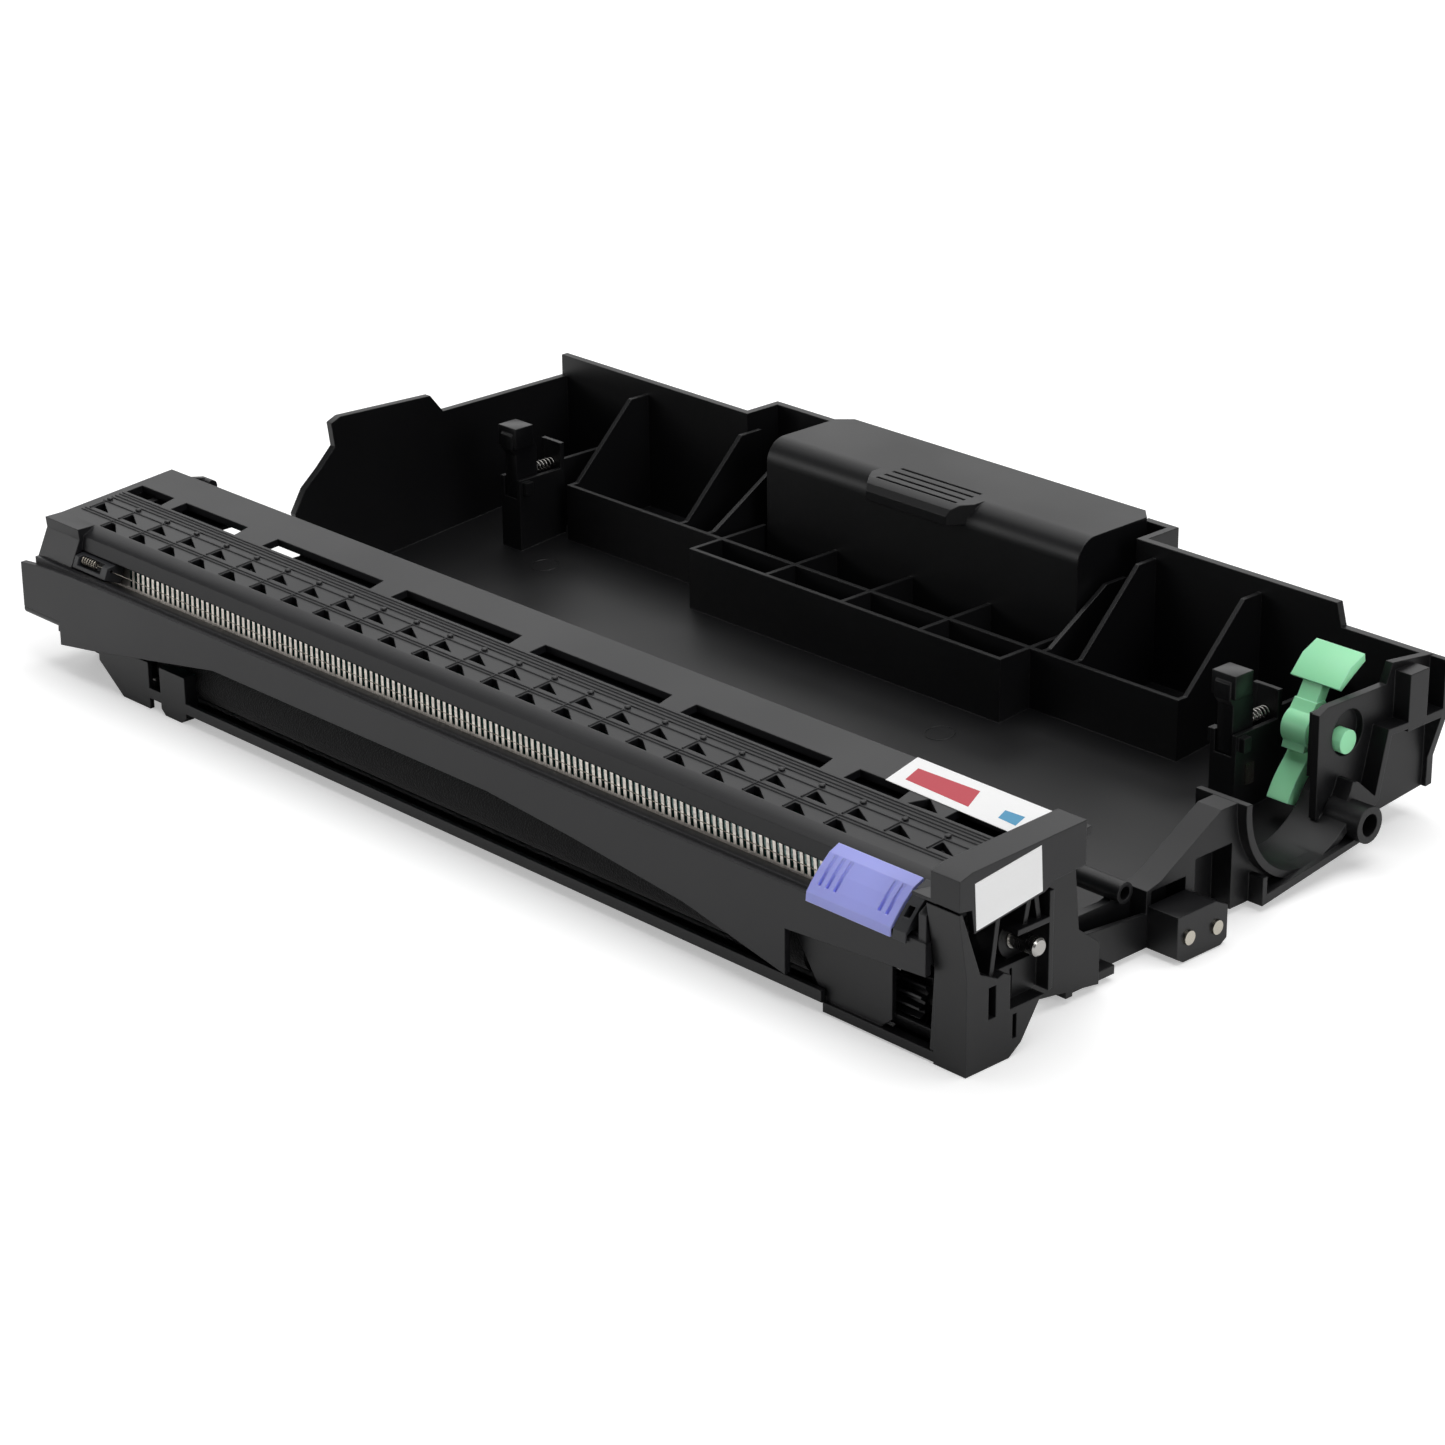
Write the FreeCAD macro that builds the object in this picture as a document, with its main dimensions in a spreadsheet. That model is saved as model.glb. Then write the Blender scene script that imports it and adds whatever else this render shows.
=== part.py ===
import FreeCAD, Part
import math
import os
import types

import Sketcher

# Drum unit of a laser printer: a moulded tray for the toner cartridge with the drum section in front.
# X runs along the drum, to the right. Y runs from the drum section back to the handle. Z is up.
# Lengths are worked out from the middle of the paper's width (x), from the front edge of the
# right end (y) and from the table (z). Every finished piece is then shifted to the unit's middle.

DIMENSIONS = {
    # Where the unit's middle lies, seen from the paper's middle and the front edge
    "middle_x": 2.9,
    "middle_y": 90.6,
    # Tray
    "tray_half": 144.5,
    "wall": 2.0,
    "rib": 1.2,
    "floor_z": 1.4,
    "floor_rise": 6.0,
    "floor_front": 46.0,
    "floor_bend": 100.0,
    "back_y": 166.6,
    "back_top": 44.0,
    "side_top": 38.5,
    "back_step_x": 119.0,
    # Rib box and gussets along the back wall
    "rib_top": 21.9,
    "rib_line_y": 138.3,
    "rib_line_left": 113.2,
    "rib_line_right": 97.2,
    "rib_box_y": 128.0,
    "rib_box_half": 53.3,
    "rib_box_x": -1.8,
    "gusset_top": 40.5,
    "gusset_low_top": 33.0,
    # Handle
    "handle_half": 52.7,
    "handle_front": 153.0,
    "handle_back": 184.6,
    "handle_top": 45.0,
    "handle_sheet": 2.2,
    "handle_round": 4.0,
    "handle_chamfer": 9.0,
    "grip_half": 17.5,
    "grip_bulge": 4.0,
    "bay_left": 76.0,
    "bay_right": 61.0,
    "bay_back": 177.5,
    # Drum
    "drum_y": 19.5,
    "drum_z": 22.5,
    "drum_r": 12.0,
    "tube_wall": 0.8,
    "tube_half": 128.0,
    "flange_rim": 1.2,
    "flange_plug": 8.0,
    "earth_plate": 0.4,
    "shaft_r": 2.3,
    "shaft_left": 150.5,
    "stub_r": 2.0,
    "stub_left": 156.5,
    "shaft_tip": 162.9,
    "shaft_chamfer": 0.4,
    "running_gap": 0.05,
    "piece_gap": 0.3,
    # Gears
    "gear_module": 0.7,
    "drum_teeth": 34,
    "transfer_teeth": 16,
    "gear_left": 137.0,
    "gear_width": 9.0,
    "hub_r": 5.0,
    # Transfer roller
    "transfer_back": 10.1,
    "sleeve_r": 5.2,
    "sleeve_half": 112.0,
    "spindle_r": 2.5,
    "spindle_left": 127.5,
    "spindle_right": 146.6,
    "bearing_x": 118.0,
    "bearing_width": 5.0,
    "bearing_half": 4.6,
    "bearing_low": 4.0,
    "bearing_guide": 0.5,
    "lift_spring_wire": 0.25,
    "lift_spring_r": 1.7,
    # Trough under the transfer roller
    "trough_front": -0.7,
    "trough_back": 21.0,
    "trough_top": 15.5,
    "trough_bottom": 0.4,
    "trough_wall": 1.2,
    "trough_left": 122.0,
    # Ends of the drum section
    "end_left": 146.0,
    "end_right": 152.0,
    "end_wall": 2.0,
    "end_front": 0.0,
    "end_back": 40.0,
    "end_face": 161.8,
    "end_step": 113.4,
    # Cover
    "cover_left": 155.1,
    "cover_back": 42.7,
    "cover_back_z": 39.3,
    "cover_front": 9.0,
    "cover_front_z": 36.4,
    "cover_sheet": 1.8,
    "cover_skirt": 4.5,
    "slot_edge_y": 4.8,
    "slot_edge_z": 31.0,
    "apron_front": -2.6,
    "apron_sheet": 1.6,
    "apron_top": 27.2,
    "apron_arch": 18.7,
    "hood_left": 154.0,
    "hood_back": 34.2,
    "hood_top": 45.2,
    "hood_low": 31.5,
    "hood_sheet": 1.6,
    # Holes and slots in the cover
    "hole_pitch": 12.0,
    "hole_length": 5.4,
    "hole_depth": 2.6,
    "hole_row_back": 18.9,
    "hole_row_front": 12.3,
    "hole_row_start": -151.4,
    "hole_count_back": 25,
    "hole_count_front": 22,
    "slot_front": 25.8,
    "slot_back": 31.2,
    # Charging unit
    "channel_lean": 22.8,
    "grid_distance": 13.2,
    "grid_half": 3.1,
    "grid_sheet": 0.3,
    "grid_left": -139.0,
    "grid_right": 147.6,
    "slit_start": -124.0,
    "slit_pitch": 2.0,
    "slit_width": 1.1,
    "slit_reach": 2.3,
    "slit_count": 121,
    "wire_distance": 17.2,
    "wire_r": 0.1,
    "wire_spring_r": 0.9,
    "wire_spring_length": 6.0,
    "holder_left": -141.0,
    "holder_left_end": -127.5,
    "holder_right": 148.2,
    "holder_right_end": 144.7,
    # Wire cleaner
    "cleaner_left": 120.3,
    "cleaner_right": 144.0,
    "pad_width": 6.0,
    # Cleaning brush
    "brush_half": 112.0,
    "brush_low": 19.2,
    "brush_high": 21.6,
    # Toner cartridge's cradle and lever
    "cheek_in": 143.0,
    "cheek_out": 149.6,
    "cradle_y": 117.0,
    "cradle_z": 24.3,
    "cradle_r": 19.0,
    "cradle_wall": 1.8,
    "lever_y": 137.4,
    "lever_z": 26.7,
    "lever_left": 130.8,
    "lever_width": 6.2,
    "lever_pin_r": 2.8,
    "lever_eye_r": 4.2,
    "lever_plate_in": 143.2,
    "boss_y": 134.9,
    "boss_z": 10.4,
    "boss_r": 4.3,
    "boss_bore_r": 2.6,
    "boss_tip": 155.4,
    # Press arms
    "press_x": 121.0,
    "press_width": 4.4,
    "press_front": 124.6,
    "press_depth": 8.4,
    "press_top": 38.6,
    "press_low": 20.0,
    "press_travel": 3.0,
    "press_bore_r": 1.7,
    "press_bore": 5.0,
    "press_spring_r": 1.2,
    "press_spring_wire": 0.22,
    # Contacts and stickers
    "contact_front": 68.0,
    "contact_back": 84.0,
    "contact_top": 11.0,
    "contact_out": 158.0,
    "contact_r": 1.6,
    "sticker_sheet": 0.12,
}

document = FreeCAD.newDocument("DrumUnit")
sheet = document.addObject("Spreadsheet::Sheet", "Sizes")
for row, (alias, number) in enumerate(DIMENSIONS.items(), start=1):
    sheet.set(f"A{row}", alias)
    sheet.set(f"B{row}", str(number))
    sheet.setAlias(f"B{row}", alias)
document.recompute()


class Size(float):
    """A number that keeps the spreadsheet formula it comes from."""

    def __new__(cls, number, formula):
        made = super().__new__(cls, number)
        made.formula = formula
        return made

    def __add__(self, other):
        return Size(float(self) + float(other), f"({self.formula} + {formula(other)})")

    def __radd__(self, other):
        return Size(float(other) + float(self), f"({formula(other)} + {self.formula})")

    def __sub__(self, other):
        return Size(float(self) - float(other), f"({self.formula} - {formula(other)})")

    def __rsub__(self, other):
        return Size(float(other) - float(self), f"({formula(other)} - {self.formula})")

    def __mul__(self, other):
        return Size(float(self) * float(other), f"({self.formula} * {formula(other)})")

    __rmul__ = __mul__

    def __truediv__(self, other):
        return Size(float(self) / float(other), f"({self.formula} / {formula(other)})")

    def __neg__(self):
        return Size(-float(self), f"(-1 * {self.formula})")


def formula(number):
    """The spreadsheet formula of a size, or the plain number."""
    return number.formula if isinstance(number, Size) else repr(float(number))


def root(number):
    """Square root of a size, as a size."""
    return Size(math.sqrt(number), f"sqrt({formula(number)})")


def cosine(angle):
    """Cosine of a size in degrees, as a size."""
    return Size(math.cos(math.radians(angle)), f"cos({formula(angle)} * 1 deg)")


def sine(angle):
    """Sine of a size in degrees, as a size."""
    return Size(math.sin(math.radians(angle)), f"sin({formula(angle)} * 1 deg)")


def bind(thing, field, number):
    """Ties one field of an object to the formula of a size."""
    thing.setExpression(field, formula(number))


s = types.SimpleNamespace(**{alias: Size(number, f"Sizes.{alias}") for alias, number in DIMENSIONS.items()})


# Basic shapes. A span is a pair, from and to. A point of an outline is a pair in the sketch's plane.


def block(name, x, y, z):
    """A box between three spans."""
    box = document.addObject("Part::Box", name)
    for axis, span, side in (("x", x, "Length"), ("y", y, "Width"), ("z", z, "Height")):
        bind(box, f"Placement.Base.{axis}", span[0])
        bind(box, side, span[1] - span[0])
    return box


def rod(name, centre, radius, span):
    """A round bar along X, with its centre line at (y, z)."""
    bar = document.addObject("Part::Cylinder", name)
    bar.Placement.Rotation = FreeCAD.Rotation(FreeCAD.Vector(0, 1, 0), 90)
    bind(bar, "Placement.Base.x", span[0])
    bind(bar, "Placement.Base.y", centre[0])
    bind(bar, "Placement.Base.z", centre[1])
    bind(bar, "Radius", radius)
    bind(bar, "Height", span[1] - span[0])
    return bar


def post(name, centre, radius, span):
    """A round bar along Z, with its centre line at (x, y)."""
    bar = document.addObject("Part::Cylinder", name)
    bind(bar, "Placement.Base.x", centre[0])
    bind(bar, "Placement.Base.y", centre[1])
    bind(bar, "Placement.Base.z", span[0])
    bind(bar, "Radius", radius)
    bind(bar, "Height", span[1] - span[0])
    return bar


def sketch_on(body, name, plane, level, outlines=(), circles=()):
    """A sketch on an origin plane of the body, moved along the plane's normal by level."""
    sketch = body.newObject("Sketcher::SketchObject", name)
    base = [item for item in body.Origin.OriginFeatures if item.Role == plane][0]
    sketch.AttachmentSupport = [(base, "")]
    sketch.MapMode = "FlatFace"
    bind(sketch, "AttachmentOffset.Base.z", level)
    for points in outlines:
        first = sketch.GeometryCount
        corners = [FreeCAD.Vector(float(u), float(v), 0) for u, v in points]
        for number, corner in enumerate(corners):
            sketch.addGeometry(Part.LineSegment(corner, corners[(number + 1) % len(corners)]), False)
        for number, (u, v) in enumerate(points):
            line = first + number
            following = first + (number + 1) % len(points)
            sketch.addConstraint(Sketcher.Constraint("Coincident", line, 2, following, 1))
            place_point(sketch, line, 1, u, v)
    for u, v, radius in circles:
        ring = sketch.addGeometry(
            Part.Circle(FreeCAD.Vector(float(u), float(v), 0), FreeCAD.Vector(0, 0, 1), float(radius)), False
        )
        place_point(sketch, ring, 3, u, v)
        constraint = sketch.addConstraint(Sketcher.Constraint("Radius", ring, float(radius)))
        bind(sketch, f"Constraints[{constraint}]", radius)
    return sketch


def place_point(sketch, line, point, u, v):
    """Holds one point of a sketch at the place (u, v)."""
    for kind, number in (("DistanceX", u), ("DistanceY", v)):
        constraint = sketch.addConstraint(Sketcher.Constraint(kind, -1, 1, line, point, float(number)))
        bind(sketch, f"Constraints[{constraint}]", number)


def new_body(name):
    """An empty body that may hold several solids."""
    body = document.addObject("PartDesign::Body", name)
    body.AllowCompound = True
    return body


def pad(body, sketch, length, name):
    """Raises a sketch along its plane's normal."""
    feature = body.newObject("PartDesign::Pad", name)
    feature.Profile = sketch
    bind(feature, "Length", length)
    body.Tip = feature
    return feature


def pocket(body, sketch, length, name):
    """Cuts a sketch into the body, against its plane's normal."""
    feature = body.newObject("PartDesign::Pocket", name)
    feature.Profile = sketch
    bind(feature, "Length", length)
    body.Tip = feature
    return feature


def repeat_along(body, feature, sketch, pitch, count, name):
    """Repeats a feature along the sketch's horizontal axis."""
    pattern = body.newObject("PartDesign::LinearPattern", name)
    pattern.Originals = [feature]
    pattern.Direction = (sketch, ["H_Axis"])
    bind(pattern, "Length", pitch * (count - 1))
    bind(pattern, "Occurrences", count)
    feature.Visibility = False
    body.Tip = pattern
    return pattern


def side_plate(name, outline, x, circles=()):
    """A plate square to X, from its outline in Y and Z."""
    body = new_body(name)
    sketch = sketch_on(body, f"{name}Outline", "YZ_Plane", x[0], [outline] if outline else (), circles)
    pad(body, sketch, x[1] - x[0], f"{name}Pad")
    return body


def front_plate(name, outline, y):
    """A plate square to Y, from its outline in X and Z."""
    body = new_body(name)
    sketch = sketch_on(body, f"{name}Outline", "XZ_Plane", -y[1], [outline])
    pad(body, sketch, y[1] - y[0], f"{name}Pad")
    return body


def flat_plate(name, outline, z):
    """A plate square to Z, from its outline in X and Y."""
    body = new_body(name)
    sketch = sketch_on(body, f"{name}Outline", "XY_Plane", z[0], [outline])
    pad(body, sketch, z[1] - z[0], f"{name}Pad")
    return body


def fuse(name, pieces):
    """One solid from several."""
    joined = document.addObject("Part::MultiFuse", name)
    joined.Shapes = pieces
    joined.Refine = True
    return joined


def cut(name, base, tools):
    """The base without the tools."""
    tool = tools[0] if len(tools) == 1 else fuse(f"{name}Tools", tools)
    left = document.addObject("Part::Cut", name)
    left.Base = base
    left.Tool = tool
    left.Refine = True
    return left


def coil(name, place, turn, radius, wire, length, turns):
    """A coil spring that starts at place, with its axis turned from Z by turn."""
    spine = document.addObject("Part::Helix", f"{name}Line")
    bind(spine, "Radius", radius)
    bind(spine, "Height", length - 2 * wire)
    bind(spine, "Pitch", (length - 2 * wire) / turns)
    ring = document.addObject("Part::Circle", f"{name}Section")
    bind(ring, "Radius", wire)
    ring.Placement.Rotation = FreeCAD.Rotation(FreeCAD.Vector(1, 0, 0), 90)
    bind(ring, "Placement.Base.x", radius)
    spring = document.addObject("Part::Sweep", name)
    spring.Sections = [ring]
    spring.Spine = (spine, [])
    spring.Solid = True
    spring.Frenet = True
    spring.Placement.Rotation = turn
    for axis, number in zip("xyz", place):
        bind(spring, f"Placement.Base.{axis}", number)
    return spring


sub_parts = []


def finish(label, *pieces):
    """Names a finished sub-part and shifts it to the unit's middle."""
    holder = document.addObject("Part::Compound", f"{pieces[0].Name}Placed")
    holder.Links = pieces
    holder.Label = label
    bind(holder, "Placement.Base.x", -s.middle_x)
    bind(holder, "Placement.Base.y", -s.middle_y)
    sub_parts.append(holder)
    return holder


# Places that several sub-parts share


gear_distance = s.gear_module * (s.drum_teeth + s.transfer_teeth) / 2
transfer_y = s.drum_y - s.transfer_back
transfer_z = s.drum_z - root(gear_distance * gear_distance - s.transfer_back * s.transfer_back)
cover_slope = (s.cover_back_z - s.cover_front_z) / (s.cover_back - s.cover_front)


def cover_under(place):
    """Height of the cover's underside at a place along Y."""
    return s.cover_front_z - s.cover_sheet + (place - s.cover_front) * cover_slope


def channel(away, across):
    """Place in Y and Z in the charging channel: away from the drum's axis, and across the channel."""
    return (s.drum_y - away * cosine(s.channel_lean) + across * sine(s.channel_lean),
            s.drum_z + away * sine(s.channel_lean) + across * cosine(s.channel_lean))


# Tray frame


def tray_shell():
    """Floor, side walls and back wall of the tray, with the stepped wall round the handle."""
    left = -s.tray_half - s.wall
    right = s.tray_half + s.wall
    behind = s.back_y + s.wall
    high_floor = s.floor_z + s.floor_rise
    floor = side_plate("Floor", [
        (s.floor_front, s.floor_z),
        (s.floor_bend, s.floor_z),
        (behind, high_floor),
        (behind, high_floor + s.wall),
        (s.floor_bend, s.floor_z + s.wall),
        (s.floor_front, s.floor_z + s.wall),
    ], (left, right))
    left_wall = side_plate("LeftWall", [
        (s.floor_front - 2, s.floor_z),
        (s.floor_bend, s.floor_z),
        (behind, high_floor),
        (behind, s.side_top),
        (123.0, s.side_top),
        (118.8, s.side_top + 5.2),
        (88.8, s.side_top + 6.5),
        (85.8, s.side_top + 5.3),
        (86.7, s.side_top - 1.2),
        (81.5, 32.3),
        (76.4, 28.1),
        (72.8, 22.2),
        (75.5, 10.5),
        (72.0, 7.0),
        (s.floor_front - 2, 7.0),
    ], (left, -s.tray_half))
    back_left = front_plate("BackWallLeft", [
        (left, high_floor),
        (-s.bay_left, high_floor),
        (-s.bay_left, s.back_top),
        (left, s.back_top),
    ], (s.back_y, behind))
    back_right = front_plate("BackWallRight", [
        (s.bay_right, high_floor),
        (right, high_floor),
        (right, s.side_top),
        (s.back_step_x + 1.5, s.side_top),
        (s.back_step_x, s.back_top),
        (s.bay_right, s.back_top),
    ], (s.back_y, behind))
    bay_behind = s.bay_back + s.wall
    bay_floor = block("BayFloor", (-s.bay_left, s.bay_right), (s.back_y, bay_behind),
                      (high_floor, high_floor + s.wall))
    bay_sides = [
        block("BaySideLeft", (-s.bay_left, s.wall - s.bay_left), (s.back_y, bay_behind), (high_floor, s.back_top)),
        block("BaySideRight", (s.bay_right - s.wall, s.bay_right), (s.back_y, bay_behind),
              (high_floor, s.back_top)),
    ]
    bay_walls = [
        block("BayWallLeft", (-s.bay_left, -s.handle_half), (s.bay_back, bay_behind), (high_floor, s.back_top)),
        block("BayWallRight", (s.handle_half, s.bay_right), (s.bay_back, bay_behind), (high_floor, s.back_top)),
        block("BayWallLow", (-s.handle_half, s.handle_half), (s.bay_back, bay_behind), (high_floor, s.rib_top)),
    ]
    return [floor, left_wall, back_left, back_right, bay_floor] + bay_sides + bay_walls


def runners():
    """Two low runners under the floor, on which the tray stands."""
    rails = []
    for side, place in (("Left", 8.0 - s.tray_half), ("Right", s.tray_half - 12.0)):
        rails.append(block(f"Runner{side}", (place, place + 4.0), (s.floor_front + 8.0, s.floor_bend),
                           (0.0, s.floor_z + s.wall / 2)))
    return rails


def rib_box():
    """Ribs along the back wall: the long rib, the open box before the handle and the sloping gussets."""
    low = s.floor_z + s.wall / 2
    box_left = s.rib_box_x - s.rib_box_half
    box_right = s.rib_box_x + s.rib_box_half
    ribs = [
        block("LongRib", (-s.rib_line_left, s.rib_line_right), (s.rib_line_y, s.rib_line_y + s.rib),
              (low, s.rib_top)),
        block("BoxFront", (box_left, box_right), (s.rib_box_y, s.rib_box_y + s.rib), (low, s.rib_top)),
    ]
    cells = 4
    for number in range(cells + 1):
        middle = box_left + s.rib / 2 + (2 * s.rib_box_half - s.rib) * (number / cells)
        ribs.append(block(f"BoxRib{number + 1}", (middle - s.rib / 2, middle + s.rib / 2),
                          (s.rib_box_y, s.handle_front + s.wall / 2), (low, s.rib_top)))
    gussets = (
        (-s.rib_line_left, s.gusset_top),
        (-s.bay_left + 5.0, s.gusset_top),
        (-s.handle_half - 8.0, s.gusset_low_top),
        (s.handle_half + 1.5, s.gusset_low_top),
        (s.bay_right + 3.0, s.gusset_top),
        (s.rib_line_right - s.rib, s.gusset_top),
    )
    for number, (place, top) in enumerate(gussets, start=1):
        ribs.append(side_plate(f"Gusset{number}", [
            (s.rib_line_y, low),
            (s.back_y + s.wall / 2, low + s.floor_rise),
            (s.back_y + s.wall / 2, top),
            (s.back_y - 6.0, top),
            (s.rib_line_y + 3.0, s.rib_top),
            (s.rib_line_y, s.rib_top),
        ], (place, place + s.rib)))
    return ribs


def handle():
    """The carrying handle: a sheet with rounded front edge, its front wall, end webs and grip bulge."""
    top = s.handle_top
    under = top - s.handle_sheet
    low = s.floor_z + s.wall
    inner = s.handle_round - s.handle_sheet
    outside = [
        (s.handle_front + s.handle_round * (1 - cosine(angle)), top - s.handle_round * (1 - sine(angle)))
        for angle in (0, 30, 60, 90)
    ]
    inside = [
        (s.handle_front + s.handle_sheet + inner * (1 - cosine(angle)), under - inner * (1 - sine(angle)))
        for angle in (90, 45, 0)
    ]
    shell = side_plate("HandleShell", [(s.handle_front, low)] + outside + [
        (s.handle_back, top),
        (s.handle_back, under),
    ] + inside + [(s.handle_front + s.handle_sheet, low)], (-s.handle_half, s.handle_half))
    corners = []
    for side, edge, step in (("Left", -s.handle_half, s.handle_chamfer), ("Right", s.handle_half, -s.handle_chamfer)):
        corners.append(flat_plate(f"HandleCorner{side}", [
            (edge - step / 4, s.handle_back - s.handle_chamfer * 1.25),
            (edge + step * 1.25, s.handle_back + s.handle_chamfer / 4),
            (edge - step / 4, s.handle_back + s.handle_chamfer / 4),
        ], (under - 1.0, top + 1.0)))
    shell = cut("HandleCornered", shell, corners)
    grip = flat_plate("Grip", [
        (-s.grip_half, s.handle_front + s.handle_sheet),
        (s.grip_bulge - s.grip_half, s.handle_front - s.grip_bulge),
        (s.grip_half - s.grip_bulge, s.handle_front - s.grip_bulge),
        (s.grip_half, s.handle_front + s.handle_sheet),
    ], (top - 2 * s.grip_bulge, top))
    joined = fuse("HandleTop", [shell, grip])
    grooves = []
    for number in range(4):
        place = s.handle_front - s.grip_bulge / 2 + number * s.grip_bulge
        grooves.append(block(f"GripGroove{number + 1}", (s.grip_bulge - s.grip_half, s.grip_half - s.grip_bulge),
                             (place, place + 1.0), (top - 0.6, top + 1.0)))
    grooved = cut("HandleGrooved", joined, grooves)
    web = [
        (s.handle_front, s.rib_top),
        (s.handle_front + 8.0, s.gusset_low_top),
        (s.bay_back + s.wall, s.gusset_low_top),
        (s.bay_back + s.wall, under + s.handle_sheet / 2),
        (s.handle_front, under + s.handle_sheet / 2),
    ]
    webs = [
        side_plate("HandleWebLeft", web, (-s.handle_half, s.handle_sheet - s.handle_half)),
        side_plate("HandleWebRight", web, (s.handle_half - s.handle_sheet, s.handle_half)),
    ]
    return [grooved] + webs


def right_side():
    """Right side of the tray: cheek with the round cradle, plate for the lever and its inner wall."""
    low = s.floor_z
    high_floor = s.floor_z + s.floor_rise
    behind = s.back_y + s.wall
    cheek = side_plate("Cheek", [
        (s.end_back - 2.0, low),
        (s.floor_bend, low),
        (s.cradle_y + s.cradle_r, low + 3.0),
        (s.lever_y + 8.0, s.boss_z + 1.0),
        (s.lever_y, s.cradle_z - 6.0),
        (s.cradle_y - s.cradle_r + 2.0, s.cradle_z + 1.5),
        (s.cradle_y - s.cradle_r - 7.0, s.cradle_z + 1.5),
        (84.0, 22.0),
        (72.0, 17.6),
        (s.end_back - 2.0, 18.6),
    ], (s.cheek_in, s.cheek_out))
    hollows = [
        block("CheekHollow1", (s.cheek_in + s.rib, s.cheek_out + 1), (60.0, 80.0), (low + 3.0, 14.0)),
        block("CheekHollow2", (s.cheek_in + s.rib, s.cheek_out + 1), (83.0, s.cradle_y - s.cradle_r - 3.0),
              (low - 1.0, 17.0)),
    ]
    cradle_cut = rod("CradleCut", (s.cradle_y, s.cradle_z), s.cradle_r, (s.cheek_in - 1, s.cheek_out + 1))
    cheek = cut("CheekCut", cheek, hollows + [cradle_cut])
    ring = cut("CradleRing", rod("CradleOuter", (s.cradle_y, s.cradle_z), s.cradle_r + s.cradle_wall,
                                 (s.cheek_in - 5.0, s.cheek_out + 1.2)), [
        rod("CradleInner", (s.cradle_y, s.cradle_z), s.cradle_r, (s.cheek_in - 6.0, s.cheek_out + 2.2)),
        block("CradleAbove", (s.cheek_in - 6.0, s.cheek_out + 2.2),
              (s.cradle_y - 2 * s.cradle_r, s.cradle_y + 2 * s.cradle_r), (s.cradle_z - 5.0, s.cradle_z + 2 * s.cradle_r)),
        block("CradleBelow", (s.cheek_in - 6.0, s.cheek_out + 2.2),
              (s.cradle_y - 2 * s.cradle_r, s.cradle_y + 2 * s.cradle_r), (s.cradle_z - 2 * s.cradle_r, low)),
    ])
    plate = side_plate("LeverPlate", [
        (s.lever_y - 8.5, s.cradle_z - 14.0),
        (s.lever_y + 3.0, s.boss_z - 1.0),
        (s.lever_y + 8.0, s.boss_z + 1.0),
        (s.lever_y + 11.5, 26.0),
        (behind, 25.0),
        (behind, s.side_top),
        (s.lever_y + 13.0, s.side_top + 1.5),
        (s.lever_y - 3.0, s.side_top - 3.0),
        (s.lever_y - 9.5, s.side_top - 3.0),
    ], (s.lever_plate_in, s.lever_plate_in + s.wall))
    flange = side_plate("LeverFlange", [
        (s.lever_y + 3.0, s.boss_z - 1.0),
        (s.lever_y + 8.0, s.boss_z + 1.0),
        (s.lever_y + 11.5, 26.0),
        (behind, 25.0),
        (behind, 26.6),
        (s.lever_y + 10.2, 27.6),
        (s.lever_y + 6.6, s.boss_z + 2.6),
        (s.lever_y + 2.0, s.boss_z + 0.6),
    ], (s.lever_plate_in, s.cheek_out))
    corner = block("CornerBlock", (s.lever_plate_in, s.cheek_out), (s.back_y - 7.0, behind), (25.0, s.side_top))
    corner = cut("CornerBlockCut", corner, [
        block("CornerHollow", (s.lever_plate_in + s.wall, s.cheek_out + 1), (s.back_y - 5.5, s.back_y + 0.5),
              (27.0, s.side_top + 1)),
    ])
    shelf = side_plate("CornerFloor", [
        (s.lever_y + 8.0, high_floor - 2.0),
        (behind, high_floor),
        (behind, high_floor + s.wall),
        (s.lever_y + 8.0, high_floor),
    ], (s.tray_half, s.lever_plate_in + s.wall))
    rear = front_plate("CornerBack", [
        (s.tray_half, high_floor),
        (s.cheek_out, 25.0),
        (s.cheek_out, s.side_top),
        (s.tray_half, s.side_top),
    ], (s.back_y, behind))
    rear_wall = side_plate("RearSideWall", [
        (s.lever_y + 9.0, high_floor - 1.5),
        (behind, high_floor),
        (behind, 27.0),
        (s.lever_y + 12.0, 27.0),
    ], (s.lever_plate_in, s.lever_plate_in + s.wall))
    boss = rod("BossTube", (s.boss_y, s.boss_z), s.boss_r, (s.cheek_out - 4.0, s.boss_tip))
    outer_rib = side_plate("OuterRib", [
        (s.floor_bend + 1.0, low),
        (s.boss_y, s.boss_z - s.boss_r),
        (s.boss_y, s.boss_z - s.boss_r + 1.4),
        (s.floor_bend + 2.4, low + 2.4),
        (s.floor_bend + 2.4, 16.0),
        (s.floor_bend + 1.0, 16.0),
    ], (s.cheek_out - 1.0, s.cheek_out + 4.0))
    joined = fuse("RightSide", [cheek, ring, plate, flange, corner, shelf, rear, rear_wall, boss, outer_rib])
    drilled = cut("RightSideDrilled", joined, [
        rod("LeverHole", (s.lever_y, s.lever_z), s.lever_pin_r + s.running_gap,
            (s.lever_plate_in - 1.0, s.lever_plate_in + s.wall + 1.0)),
        rod("BossBore", (s.boss_y, s.boss_z), s.boss_bore_r, (s.cheek_in - 8.0, s.boss_tip + 1.0)),
    ])
    return [drilled]


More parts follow.
